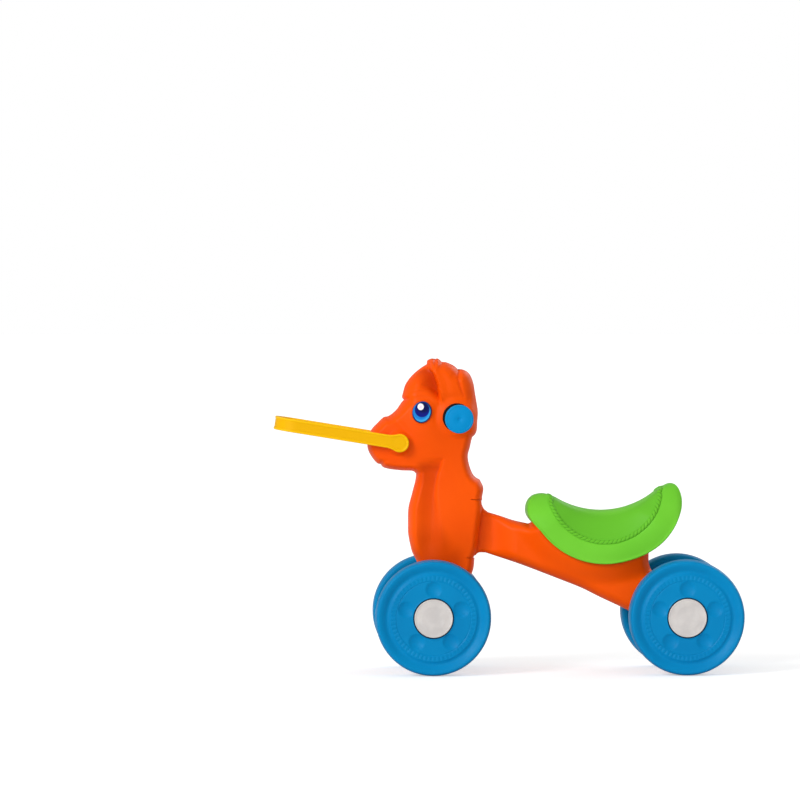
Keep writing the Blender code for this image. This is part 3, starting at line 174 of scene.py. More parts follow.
def put_down():
    """Leaves edit mode with nothing selected."""
    if bpy.context.mode != "OBJECT":
        bpy.ops.object.mode_set(mode="OBJECT")
    bpy.ops.object.select_all(action="DESELECT")


def pick_up(obj):
    """Makes one piece the selected and active one."""
    put_down()
    obj.select_set(True)
    bpy.context.view_layer.objects.active = obj
    return obj


def named(name):
    """Names the primitive that was just added."""
    obj = bpy.context.active_object
    obj.name = name
    obj.data.name = name
    return obj


def places_of(obj):
    """The places of a piece's points, as rows."""
    places = np.empty(len(obj.data.vertices) * 3)
    obj.data.vertices.foreach_get("co", places)
    return places.reshape(-1, 3)


def put_places(obj, places):
    """Moves a piece's points to new places."""
    obj.data.vertices.foreach_set("co", places.ravel())
    obj.data.update()


def close_up(obj, merge=0.000004, fill=False):
    """Merges doubles, fills an open rim where asked, and turns the faces out."""
    pick_up(obj)
    bpy.ops.object.mode_set(mode="EDIT")
    bpy.ops.mesh.select_all(action="SELECT")
    bpy.ops.mesh.remove_doubles(threshold=merge)
    if fill:
        bpy.ops.mesh.select_mode(type="EDGE")
        bpy.ops.mesh.select_all(action="DESELECT")
        bpy.ops.mesh.select_non_manifold(extend=False, use_wire=False, use_boundary=True,
                                         use_multi_face=False, use_non_contiguous=False, use_verts=False)
        bpy.ops.mesh.edge_face_add()
    bpy.ops.mesh.select_all(action="SELECT")
    bpy.ops.mesh.normals_make_consistent(inside=False)
    bpy.ops.object.mode_set(mode="OBJECT")
    return obj


def laid_grid(name, across, along, lay, fill=False):
    """A grid added flat and laid over the piece: lay(u, v) gives the places, u across and v along."""
    put_down()
    bpy.ops.mesh.primitive_grid_add(x_subdivisions=across, y_subdivisions=along, size=1.0)
    obj = named(name)
    flat = places_of(obj)
    put_places(obj, lay(flat[:, 0] + 0.5, flat[:, 1] + 0.5))
    return close_up(obj, fill=fill)


def turned(name, profile, steps=96, side=1):
    """Draws a half section of (radius, y) point by point and spins it round the Y axis, or mirrored for side -1."""
    put_down()
    bpy.ops.mesh.primitive_plane_add(size=0.001)
    obj = named(name)
    bpy.ops.object.mode_set(mode="EDIT")
    bpy.ops.mesh.select_mode(type="VERT")
    bpy.ops.mesh.select_all(action="SELECT")
    bpy.ops.mesh.merge(type="CENTER")
    here = Vector((0.0, 0.0, 0.0))
    for number, (radius, y) in enumerate(profile):
        step = Vector((0.0, side * y, radius)) - here
        if number:
            bpy.ops.mesh.extrude_region_move(TRANSFORM_OT_translate={"value": step})
        else:
            bpy.ops.transform.translate(value=step)
        here += step
    bpy.ops.mesh.select_all(action="SELECT")
    bpy.ops.mesh.spin(steps=steps, angle=2 * math.pi, center=(0.0, 0.0, 0.0), axis=(0.0, 1.0, 0.0))
    bpy.ops.object.mode_set(mode="OBJECT")
    return close_up(obj)


def moved(obj, placing):
    """Puts a piece in its place, inside its mesh."""
    obj.data.transform(placing)
    if placing.determinant() < 0:
        close_up(obj)
    return obj


def finished(obj, modifier, **settings):
    """Adds a modifier with its settings and applies it."""
    pick_up(obj)
    step = obj.modifiers.new("step", modifier)
    for key, value in settings.items():
        setattr(step, key, value)
    bpy.ops.object.modifier_apply(modifier=step.name)
    return obj


def cut(obj, tool, how="DIFFERENCE"):
    """Cuts a tool out of a piece, or welds it on, and throws the tool away."""
    finished(obj, "BOOLEAN", operation=how, solver="EXACT", object=tool)
    bpy.data.objects.remove(tool, do_unlink=True)
    return obj


def smooth(obj, degrees=35.0):
    """Shades a piece smooth up to an angle."""
    pick_up(obj)
    bpy.ops.object.shade_smooth_by_angle(angle=math.radians(degrees))
    return obj


def mark(obj, name, values):
    """Keeps one number on each point of a piece, which its finish reads."""
    kept = obj.data.attributes.new(name, "FLOAT", "POINT")
    kept.data.foreach_set("value", np.asarray(values, np.float32))


def copied(obj, name):
    """A copy with its own mesh."""
    twin = obj.copy()
    twin.data = obj.data.copy()
    twin.name = name
    twin.data.name = name
    bpy.context.scene.collection.objects.link(twin)
    return twin


def weld(obj, other):
    """Joins another piece into this one."""
    pick_up(obj)
    other.select_set(True)
    bpy.ops.object.join()
    return obj


# Curves and distances in the side view

def eased(value, low, high):
    """0 up to low, 1 from high on, and a smooth climb between."""
    t = np.clip((value - low) / (high - low), 0.0, 1.0)
    return t * t * (3.0 - 2.0 * t)


def spline(points, spacing=0.0006):
    """A smooth curve through the points, evenly sampled."""
    def along(a, b, t, start, stop):
        return a + (b - a) * (t - start) / (stop - start)
    p = np.array(points, float)
    fine = [p[0]]
    if len(p) == 2:
        fine.append(p[1])
    else:
        ends = np.vstack([2 * p[0] - p[1], p, 2 * p[-1] - p[-2]])
        knots = np.concatenate([[0.0], np.cumsum(np.sqrt(np.linalg.norm(np.diff(ends, axis=0), axis=1)))])
        for i in range(1, len(ends) - 2):
            before, here, ahead, beyond = ends[i - 1:i + 3]
            t0, t1, t2, t3 = knots[i - 1:i + 3]
            for t in np.linspace(t1, t2, 13)[1:]:
                chord = along(here, ahead, t, t1, t2)
                first = along(along(before, here, t, t0, t1), chord, t, t0, t2)
                last = along(chord, along(ahead, beyond, t, t2, t3), t, t1, t3)
                fine.append(along(first, last, t, t1, t2))
    fine = np.array(fine)
    return resampled(fine, max(2, int(length_of(fine) / spacing)))


def between(value, start, full, ebb, stop):
    """1 from full to ebb, easing to 0 at start and at stop."""
    return eased(value, start, full) * (1.0 - eased(value, ebb, stop))


def ridge(apart, reach):
    """1 on a line, falling off softly beside it."""
    return np.exp(-(apart / reach) ** 2)


def bump(x, z, centre, reach):
    """A soft swell round a place, 1 at its middle."""
    return np.exp(-((x - centre[0]) / reach[0]) ** 2 - ((z - centre[1]) / reach[1]) ** 2)


def length_of(line):
    """The length of a line of points."""
    return float(np.sum(np.linalg.norm(np.diff(line, axis=0), axis=1)))


def run_of(line):
    """How far along a line each of its points is."""
    return np.concatenate([[0.0], np.cumsum(np.linalg.norm(np.diff(line, axis=0), axis=1))])


def read_off(line, run, marks):
    """The line's values at marks along its run."""
    return np.stack([np.interp(marks, run, line[:, k]) for k in range(line.shape[1])], 1)


def nearest(line, place):
    """The number of the line's point that is nearest to a place."""
    return int(np.argmin(np.linalg.norm(line - np.array(place), axis=1)))


def resampled(line, parts):
    """The line in a number of equal parts."""
    run = run_of(line)
    return read_off(line, run, np.linspace(0.0, run[-1], parts + 1))


def chain(stretches):
    """One line through stretches of points, with a corner where one ends and the next goes on."""
    lines = [spline(stretches[0])]
    for before, stretch in zip(stretches, stretches[1:]):
        lines.append(spline(before[-1:] + stretch)[1:])
    return np.vstack(lines)


def depth_in(outline, points):
    """How far each point is from an outline."""
    a = outline[:-1]
    ab = outline[1:] - a
    length = np.maximum(np.sum(ab * ab, axis=1), 1e-16)
    depths = []
    for start in range(0, len(points), AT_ONCE):
        part = points[start:start + AT_ONCE]
        ap = part[:, None, :] - a[None]
        t = np.clip(np.sum(ap * ab[None], axis=2) / length[None], 0.0, 1.0)
        depths.append(np.min(np.linalg.norm(ap - t[..., None] * ab[None], axis=2), axis=1))
    return np.concatenate(depths)


def rails(line_a, line_b, stops, step=0.0020):
    """Two edges cut into matching rows between pairs of stops, so that rows never cross."""
    cuts = [(nearest(line_a, a), nearest(line_b, b)) for a, b in stops]
    rows_a, rows_b = [line_a[cuts[0][0]][None]], [line_b[cuts[0][1]][None]]
    for (a0, b0), (a1, b1) in zip(cuts, cuts[1:]):
        parts = [line_a[a0:a1 + 1], line_b[b0:b1 + 1]]
        parts = [part if len(part) > 1 else np.vstack([part, part]) for part in parts]
        count = max(1, int(round(max(length_of(part) for part in parts) / step)))
        for rows, part in zip((rows_a, rows_b), parts):
            rows.append(resampled(part, count)[1:])
    return np.vstack(rows_a), np.vstack(rows_b)


def half_body(name, side, edges, outline, half_width, edge_radius, across):
    """One moulded half: a grid laid over its side view, swollen by its half width, with a flat back."""
    rail_a, rail_b = edges

    def lay(u, v):
        row = np.rint(v * (len(rail_a) - 1)).astype(int)
        share = (0.5 - 0.5 * np.cos(math.pi * u))[:, None]
        flat = rail_a[row] * (1.0 - share) + rail_b[row] * share
        depth = depth_in(outline, flat)
        radius = edge_radius(flat)
        t = np.clip(depth / radius, 0.0, 1.0)
        rise = half_width(flat) * np.sqrt(1.0 - (1.0 - t) ** 2)
        on_edge = (u < 1e-4) | (u > 1.0 - 1e-4) | (v < 1e-5) | (v > 1.0 - 1e-5)
        rise[on_edge] = 0.0
        return np.stack([flat[:, 0], side * (SEAM + rise), flat[:, 1]], 1)
    return laid_grid(name, across, len(rail_a) - 1, lay, fill=True)


# The pony's outline and its relief, from the front axle

PONY_STRETCHES = [
    [(-0.0245, -0.0085), (-0.0225, 0.020), (-0.0190, 0.045), (-0.0190, 0.068), (-0.0236, 0.085), (-0.0300, 0.098),
     (-0.0346, 0.1166)],
    [(-0.0363, 0.128), (-0.0365, 0.145), (-0.0363, 0.161), (-0.0353, 0.170), (-0.0299, 0.191), (-0.0245, 0.2125),
     (-0.0236, 0.2210)],
    [(-0.0282, 0.2250), (-0.0461, 0.2263), (-0.0661, 0.2287), (-0.0760, 0.2317), (-0.0796, 0.2363)],
    [(-0.0841, 0.2372), (-0.0932, 0.2472), (-0.0992, 0.2590), (-0.1004, 0.2680), (-0.0952, 0.2885),
     (-0.0841, 0.3013), (-0.0740, 0.3104), (-0.0678, 0.3116), (-0.0553, 0.3212), (-0.0471, 0.3328),
     (-0.0430, 0.3374)],
    [(-0.0457, 0.3407), (-0.0441, 0.3497), (-0.0405, 0.3614), (-0.0332, 0.3721), (-0.0252, 0.3803),
     (-0.0161, 0.3875), (-0.0070, 0.3933)],
    [(-0.0062, 0.3988), (-0.0020, 0.4014), (0.0030, 0.4022), (0.0055, 0.4006)],
    [(0.0095, 0.4024), (0.0138, 0.3998), (0.0165, 0.3968)],
    [(0.0228, 0.3965), (0.0300, 0.3938), (0.0372, 0.3897), (0.0425, 0.3843)],
    [(0.0472, 0.3853), (0.0543, 0.3829), (0.0597, 0.3785), (0.0634, 0.3721), (0.0666, 0.3622), (0.0689, 0.3478),
     (0.0715, 0.3324), (0.0734, 0.3180), (0.0725, 0.3025), (0.0715, 0.2890), (0.0688, 0.2827), (0.0648, 0.2791)],
    [(0.0633, 0.2739), (0.0606, 0.2620), (0.0577, 0.2506), (0.0586, 0.2398), (0.0639, 0.2235), (0.0690, 0.2163),
     (0.0765, 0.2117)],
    [neck_back(0.1990), neck_back(0.1835)],
    [neck_back(0.1700, 0.0030), neck_back(0.1350, 0.0030), neck_back(0.1000, 0.0030), neck_back(0.0880)],
    [neck_back(0.0700), (0.0560, 0.0480), (0.0440, 0.0330), (0.0310, 0.0180), (HOUSING, 0.0)],
    arc(HOUSING, 0.0, math.atan2(-0.0085, -0.0245), 7)[1:],
]
PONY_STOPS = [  # places on the face side and on the mane side that one row joins
    ((0.0095, 0.4024), (0.0095, 0.4024)),
    ((0.0055, 0.4006), (0.0138, 0.3998)),
    ((-0.0062, 0.3988), (0.0165, 0.3968)),
    ((-0.0070, 0.3933), (0.0300, 0.3938)),
    ((-0.0161, 0.3875), (0.0425, 0.3843)),
    ((-0.0252, 0.3803), (0.0543, 0.3829)),
    ((-0.0441, 0.3497), (0.0666, 0.3622)),
    ((-0.0430, 0.3374), (0.0700, 0.3420)),
    ((-0.0740, 0.3104), (0.0734, 0.3180)),
    ((-0.1004, 0.2680), (0.0722, 0.2960)),
    ((-0.0841, 0.2372), (0.0688, 0.2827)),
    ((-0.0796, 0.2363), (0.0648, 0.2791)),
    ((-0.0461, 0.2263), (0.0606, 0.2620)),
    ((-0.0236, 0.2210), (0.0586, 0.2398)),
    ((-0.0245, 0.2125), (0.0765, 0.2117)),
    ((-0.0299, 0.1910), neck_back(0.1990)),
    ((-0.0345, 0.1740), neck_back(0.1835)),
    ((-0.0363, 0.1610), neck_back(0.1700, 0.0030)),
    ((-0.0346, 0.1166), neck_back(0.1180, 0.0030)),
    ((-0.0236, 0.0850), neck_back(0.0880)),
    ((-0.0190, 0.0680), neck_back(0.0700)),
    ((-0.0225, 0.0200), (0.0310, 0.0180)),
    ((-0.0245, -0.0085), (HOUSING, 0.0)),
    ((0.0, -HOUSING), (0.0, -HOUSING)),
]


# Lines on the pony's side, each as heights and how far back, and the brow's as how far back and heights
CREASE = ([0.335, 0.3373, 0.3481, 0.3627, 0.3774, 0.3861, 0.3930],
          [0.0130, 0.0120, 0.0099, 0.0078, 0.0026, -0.0030, -0.0030])
BROW = ([-0.040, -0.034, -0.0204, -0.0047, 0.012], [0.346, 0.3500, 0.3556, 0.3496, 0.3380])
LOCK = ([0.3439, 0.3520, 0.3620, 0.3711, 0.3780, 0.3843], [0.0496, 0.0462, 0.0428, 0.0404, 0.0408, 0.0425])
MANE_BACK = ([0.318, 0.332, 0.362, 0.3785, 0.3843], [0.0734, 0.0715, 0.0666, 0.0597, 0.0480])
VALLEY = ([0.1875, 0.2062, 0.2194, 0.2353, 0.2450], [0.0016, 0.0040, 0.0068, 0.0128, 0.0160])
FOLDS = (  # each fold's line, its depth and its reach: beside the muzzle, and along the lip
    ([(-0.0740, 0.3122), (-0.0640, 0.3100), (-0.0555, 0.3055), (-0.0470, 0.2960), (-0.0405, 0.2840)], 0.0014, 0.0056),
    ([(-0.0900, 0.2400), (-0.0855, 0.2425), (-0.0790, 0.2435), (-0.0700, 0.2425)], 0.0006, 0.0016))
SWELLS = (  # height, middle and reach: the chest, a dip behind the eye and one under the chin
    (CHEST_HALF - NECK_HALF, (0.026, 0.140), (0.050, 0.070)), (-0.0020, (0.0090, 0.3170), (0.0070, 0.0150)),
    (-0.0022, (-0.006, 0.2270), (0.018, 0.0080)))
PADS = (  # place, radius, level and how softly it runs out: for the collars, and for the rein handle
    (BAR, COLLAR_RADIUS - 0.0010, COLLAR_PAD, 0.0140), (REIN, REIN_DISC - 0.001, REIN_INNER - 0.0003, 0.0080))


def pony_painted_shade(x, z):
    """How much painted shade a place on the pony's side gets, from 0 to 1, for its finish: in the forehead panel,
    along the locks' parting, down the neck's hollow and low on the neck.
    """
    crease, brow = np.interp(z, *CREASE), np.interp(x, *BROW)
    panel = between(x, crease - 0.038, crease - 0.004, crease - 0.0004, crease + 0.0014)
    panel *= (1.0 - eased(z, 0.382, 0.392)) * eased(z, brow - 0.006, brow + 0.010)
    lock = 0.5 * ridge(x - np.interp(z, *LOCK), 0.0016) * between(z, 0.338, 0.356, 0.384, 0.388)
    low = np.interp(z, [0.080, 0.146] + VALLEY[0], [0.022, 0.003] + VALLEY[1])
    climb = np.interp(z, [0.080, 0.150, 0.190, 0.235], [0.040, 0.016, 0.006, 0.0020])
    valley = between(x, -0.030, -0.012, low, low + climb) * (1.0 - eased(z, 0.232, 0.244))
    valley *= 0.25 + 0.75 * np.interp(z, [0.10, 0.15, 0.20, 0.225], [0.7, 0.45, 0.6, 1.0])
    foot = 0.6 * (1.0 - eased(z, 0.085, 0.118)) * (1.0 - eased(x, 0.035, 0.058))
    return np.maximum.reduce([0.95 * panel, lock, 0.62 * valley, foot])


def pony_half_plain(flat):
    """Half the pony's width without the small relief: neck, cheek and muzzle."""
    x, z = (flat - FRONT_AXLE).T
    width = np.full(len(x), NECK_HALF - SEAM)
    width += (CHEEK_HALF - NECK_HALF) * bump(x, z, (-0.010, 0.298), (0.050, 0.055))
    width += (MUZZLE_HALF - NECK_HALF) * bump(x, z, (-0.080, 0.266), (0.032, 0.040))
    return width


def eye_reach(x, z):
    """How far a place is from the eye's middle, 1 on its rim, and how far above it."""
    dx, dz = x - EYE[0], z - EYE[1]
    along = dx * math.sin(EYE_LEAN) + dz * math.cos(EYE_LEAN)
    across = dx * math.cos(EYE_LEAN) - dz * math.sin(EYE_LEAN)
    return np.hypot(across / EYE_HALF[0], along / EYE_HALF[1]), along


def pony_half(flat):
    """Half the pony's width: cheek, muzzle, chest and mane, and the hollows between them."""
    x, z = (flat - FRONT_AXLE).T
    width = pony_half_plain(flat)
    width -= 0.0060 * (1.0 - eased(z, 0.078, 0.140))
    for height, centre, reach in SWELLS:
        width += height * bump(x, z, centre, reach)
    for fold, depth, reach in FOLDS:
        width -= depth * ridge(depth_in(np.array(fold) + FRONT_AXLE, flat), reach)

    # The mane stands proud behind its crease, and the forelock in front of it lies lower
    crease, brow = np.interp(z, *CREASE), np.interp(x, *BROW)
    behind = eased(x, crease - 0.0006, crease + 0.0030)
    nape = eased(z, 0.270, 0.290) * eased(x, 0.052, 0.062)
    width += 0.0050 * np.maximum(eased(z, 0.322, 0.352) * behind, 0.8 * nape)
    panel = eased(x, crease - 0.036, crease - 0.001) * (1.0 - behind)
    panel *= (1.0 - eased(z, 0.380, 0.393)) * eased(z, brow - 0.005, brow + 0.010)
    width -= 0.0076 * panel

    # One deep parting between the locks, and fine strands beside it
    width -= 0.0018 * ridge(x - np.interp(z, *LOCK), 0.0026) * eased(z, 0.334, 0.352)
    strand = np.clip((x - crease) / (np.interp(z, *MANE_BACK) - crease), 0.0, 1.0)
    fade = eased(z, 0.326, 0.350) * between(strand, 0.05, 0.16, 0.90, 1.0)
    width -= 0.0005 * fade * (0.5 - 0.5 * np.cos(2 * math.pi * (3.4 * strand ** 1.1 - 0.2)))

    # The lids over the eye, and the lip round its pocket
    rim, above = eye_reach(x, z)
    apart = np.hypot(x - EYE[0], z - EYE[1])
    width += 0.0010 * ridge(apart - 0.0360, 0.0026) * eased(above, 0.006, 0.020)
    width += 0.0005 * ridge(apart - 0.0275, 0.0018) * eased(above, 0.002, 0.014)
    width += 0.0006 * ridge(rim - 1.13, 0.07)

    # The hollow down the neck
    low = np.interp(z, [0.100, 0.146] + VALLEY[0], [-0.004, -0.001] + VALLEY[1])
    climb = np.interp(z, [0.100, 0.150, 0.190, 0.235], [0.026, 0.016, 0.008, 0.0040])
    width -= 0.0044 * between(x, -0.031, low, low, low + climb) * between(z, 0.080, 0.120, 0.236, 0.250)

    for place, radius, level, run_out in PADS:
        near = 1.0 - eased(np.hypot(x - place[0], z - place[1]), radius, radius + run_out)
        width += (level - SEAM - width) * near
    return width


def pony_edge(flat):
    """How far in the pony rounds off: softly over the forehead and crown, sharper elsewhere."""
    x, z = (flat - FRONT_AXLE).T
    crown = eased(z, 0.300, 0.350)
    foot = 1.0 - eased(z, 0.040, 0.080)
    jaw = (1.0 - eased(x, -0.030, 0.000)) * between(z, 0.205, 0.222, 0.262, 0.295)
    return 0.0135 + 0.0070 * crown + 0.0030 * foot - 0.0035 * jaw


def prism(plan, low, rise):
    """A prism over a plan of (x, y), standing on the steering axis."""
    put_down()
    bpy.ops.mesh.primitive_circle_add(vertices=len(plan), radius=0.01, fill_type="NGON")
    tool = bpy.context.active_object
    put_places(tool, np.array([(x, y, low) for x, y in plan]))
    bpy.ops.object.mode_set(mode="EDIT")
    bpy.ops.mesh.select_all(action="SELECT")
    bpy.ops.mesh.extrude_region_move(TRANSFORM_OT_translate={"value": (0.0, 0.0, rise)})
    bpy.ops.object.mode_set(mode="OBJECT")
    return moved(close_up(tool), STEER_PLACE)


def steering_slot():
    """The cutter for the slot at the back of the neck: a barrel that opens to the steering angle."""
    clear, reach = 0.0005, 0.055
    barrel, half = BARREL + clear, TONGUE_HALF + clear
    along = math.sqrt(barrel * barrel - half * half)
    cos, sin = math.cos(STEER_OPEN), math.sin(STEER_OPEN)
    x, y = along * cos - half * sin, along * sin + half * cos
    first = math.atan2(y, x)
    far = (x + reach * cos, y + reach * sin)
    return prism([far] + arc(barrel, first, 2 * math.pi - first, 33) + [(far[0], -far[1])],
                 BARREL_LOW - clear, BARREL_TALL + 2 * clear)


def clamp_slits():
    """Two thin cutters across the back of the neck, where the clamp round the steering barrel parts."""
    slits = []
    for up, start, reach in ((0.1806, 0.0610, 0.030), (0.0893, 0.0540, 0.020)):
        put_down()
        bpy.ops.mesh.primitive_cube_add(size=1.0)
        slit = bpy.context.active_object
        slit.data.transform(Matrix.Diagonal((reach, 0.100, 0.0010, 1.0)))
        x, z = from_front(start + reach / 2, up)
        slits.append(moved(slit, Matrix.Translation((x, 0.0, z)) @ Matrix.Rotation(STEER_TILT * 0.6, 4, "Y")))
    return weld(*slits)


def axle_boss(side, x):
    """The housing's round end that reaches out to the washer, with a flared root."""
    section = [(0.0, 0.012), (0.0205, 0.012), (0.0205, 0.024), (0.0178, 0.030), (0.0158, 0.036), (0.0148, 0.042),
               (AXLE_BOSS, 0.048), (AXLE_BOSS, AXLE_BOSS_END - 0.0012), (AXLE_BOSS - 0.0012, AXLE_BOSS_END),
               (0.0, AXLE_BOSS_END)]
    return moved(turned("axle_boss", section, 64, side), Matrix.Translation((x, 0.0, AXLE_Z)))


INWARD, OUTWARD = -0.005, 0.080  # how far the bores reach past the middle and past the skin
AXLE_BORE = [(AXLE_HOLE, INWARD), (AXLE_HOLE, OUTWARD)]
SCREW_BORE = [(0.0020, -0.001), (0.0020, SCREW_SEAT), (SCREW_HEAD_HOLE, SCREW_SEAT), (SCREW_HEAD_HOLE, OUTWARD)]
COLLAR_BORE = [(BAR_HOLE, INWARD), (BAR_HOLE, COLLAR_PAD), (COLLAR_RADIUS + 0.0005, COLLAR_PAD),
               (COLLAR_RADIUS + 0.0005, OUTWARD)]
REIN_BORE = [(REIN_HOLE, 0.0313), (REIN_HOLE, OUTWARD)]
SCREW_BOSS = [(0.0066, 0.0150), (0.0066, 0.0338), (0.0058, 0.0346)]  # in the mane's hollow, round a screw
PONY_SCREWS = [(-0.080, 0.266), (0.008, 0.370), (0.024, 0.250), (-0.012, 0.186), (-0.006, 0.100)]


def bored(side, place, section):
    """A stepped round tool along Y at a place in the side view."""
    profile = [(0.0, section[0][1])] + section + [(0.0, section[-1][1])]
    return moved(turned("bore", profile, 48, side), Matrix.Translation((place[0], 0.0, place[1])))


def pony_halves():
    """The two moulded halves of face, mane, neck and front axle housing."""
    line = chain(PONY_STRETCHES) + FRONT_AXLE
    top, low = nearest(line, from_front(0.0095, 0.4024)), nearest(line, from_front(0.0, -HOUSING))
    face_side = np.vstack([line[:top + 1][::-1], line[low:-1][::-1]])
    stops = [(from_front(*a), from_front(*b)) for a, b in PONY_STOPS]
    edges = rails(face_side, line[top:low + 1], stops, 0.0013)
    for side, word in SIDES:
        half = half_body(f"pony_{word}", side, edges, line, pony_half, pony_edge, across=104)
        cut(half, axle_boss(side, FRONT_X), "UNION")
        bores = [(BAR, COLLAR_BORE), (REIN, REIN_BORE), ((0.0, 0.0), AXLE_BORE)]
        if side > 0:
            cut(half, bored(side, from_front(*PONY_SCREWS[1]), SCREW_BOSS), "UNION")
            bores += [(place, SCREW_BORE) for place in PONY_SCREWS]
        cut(half, steering_slot())
        tool = eye_pocket(side)
        for place, section in bores:
            tool = weld(tool, bored(side, from_front(*place), section))
        cut(half, tool)
        cut(half, clamp_slits())
        # Painted shade in the pony's hollows, kept to the sides and marked for its finish
        places = places_of(half)
        hollow = pony_painted_shade(places[:, 0] - FRONT_X, places[:, 2] - AXLE_Z)
        mark(half, "shade", hollow * eased(np.abs(places[:, 1]), 0.012, 0.020))
        smooth(half, 38.0)
        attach(half, "pony")
        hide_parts(f"head_shell_{word}")
        paint(half, pony_orange)


# The eyes

def eye_placing(side):
    """The eye's own frame: its Z axis along the skin's normal, its Y axis leaning up the face."""
    x, z = from_front(*EYE)
    probe = 0.006
    spots = np.array([(x, z), (x + probe, z), (x - probe, z), (x, z + probe), (x, z - probe)])
    h = pony_half_plain(spots)
    normal = Vector((-(h[1] - h[2]) / (2 * probe), side, -(h[3] - h[4]) / (2 * probe))).normalized()
    up = Vector((math.sin(EYE_LEAN), 0.0, math.cos(EYE_LEAN)))
    up = (up - normal * up.dot(normal)).normalized()
    turn = Matrix((up.cross(normal), up, normal)).transposed().to_4x4()
    return Matrix.Translation((x, side * (SEAM + h[0]), z)) @ turn


def eye_disc(grow, rings):
    """An upright oval, turned round its own Z axis."""
    disc = turned("eye", rings, 72)
    disc.data.transform(Matrix.Rotation(math.pi / 2, 4, "X"))
    disc.data.transform(Matrix.Diagonal((EYE_HALF[0] + grow, EYE_HALF[1] + grow, 1.0, 1.0)))
    return close_up(disc)


def eye_pocket(side):
    """The cutter for an eye's pocket."""
    pocket = eye_disc(0.0003, [(0.0, 0.0024), (1.0, 0.0024), (1.0, -0.030), (0.0, -0.030)])
    return moved(pocket, eye_placing(side))


def eyes():
    """Domed oval buttons in their pockets, printed with iris, pupil and highlight."""
    crown = [(0.0, 0.0021), (0.999, 0.0021), (1.0, 0.0005), (0.985, -0.0001), (0.955, -0.0005)]
    crown += [(0.955 * math.cos(a), -0.0005 - 0.0013 * math.sin(a)) for a in np.linspace(0.0, math.pi / 2, 14)[1:]]
    for side, word in SIDES:
        eye = eye_disc(0.0, crown)
        eye.name = f"eye_button_{word}"
        moved(eye, eye_placing(side))
        smooth(eye, 50.0)
        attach(eye, "pony")
        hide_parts(f"eye_{word}")
        paint(eye, eye_print)


# The frame: tongue, beam, cradle and rear axle housing

def frame_lines():
    """The beam's upper and lower edges, both from the steering barrel to the rear boss."""
    seat = [from_saddle(a, CRADLE_RADIUS) for a in np.linspace(CRADLE_FRONT, math.asin(0.0722 / CRADLE_RADIUS), 31)]
    corner = (seat[-1][0], AXLE_Z + 0.0813)
    boss = all_from(from_rear, *arc(HOUSING, math.radians(30.0), math.radians(-118.0), 25))
    upper = chain([
        [on_steer_axis(0.0456)] + all_from(from_front, (0.0745, 0.1793), (0.0790, 0.1740), (0.0830, 0.1660),
                                           (0.0900, 0.1603)),
        [from_front(0.1101, 0.1542), from_rear(-0.2663, 0.1479), from_rear(-0.2418, 0.1423)],
        [from_rear(-0.2350, 0.1455), seat[0]],
        seat[1:], [corner],
        all_from(from_rear, (-0.0490, 0.0710), (-0.0380, 0.0600), (-0.0120, 0.0455), (0.0120, 0.0340),
                 (0.0240, 0.0150)),
        boss[1:6]])
    lower = chain([
        boss[5:],
        all_from(from_rear, (-0.0480, -0.0115), (-0.0783, 0.0025), (-0.1052, 0.0152), (-0.1320, 0.0278),
                 (-0.1573, 0.0405), (-0.1890, 0.0532))
        + all_from(from_front, (0.1400, 0.0785), (0.1024, 0.0912), (0.0855, 0.0968)),
        all_from(from_front, (0.0745, 0.0965), (0.0690, 0.0922)) + [on_steer_axis(BARREL_LOW)]])[::-1]
    return upper, lower, seat, corner, boss


def frame_half(flat):
    """Half the frame's width: a thin tongue, the beam, and the cradle flaring under the saddle."""
    clear = math.hypot(KNUCKLE, NECK_HALF)
    widening = eased(flat[:, 0] - FRONT_X, STEER_X + 0.92 * clear, STEER_X + 2.1 * clear)
    width = TONGUE_HALF + (BEAM_HALF - TONGUE_HALF) * widening
    reach = np.hypot(flat[:, 0] - SADDLE_X, flat[:, 1] - SADDLE_Z)
    flare = 1.0 - eased(reach, SKIRT_RADIUS - 0.002, SKIRT_RADIUS + 0.036)
    return width + (CRADLE_HALF - BEAM_HALF) * flare * widening - SEAM


def frame_edge(flat):
    """How far in the beam rounds off: less at the tongue."""
    beam, tongue = 0.0160, 0.75 * TONGUE_HALF
    return beam + (tongue - beam) * (1.0 - eased(flat[:, 0] - FRONT_X, STEER_X + 0.030, STEER_X + 0.060))


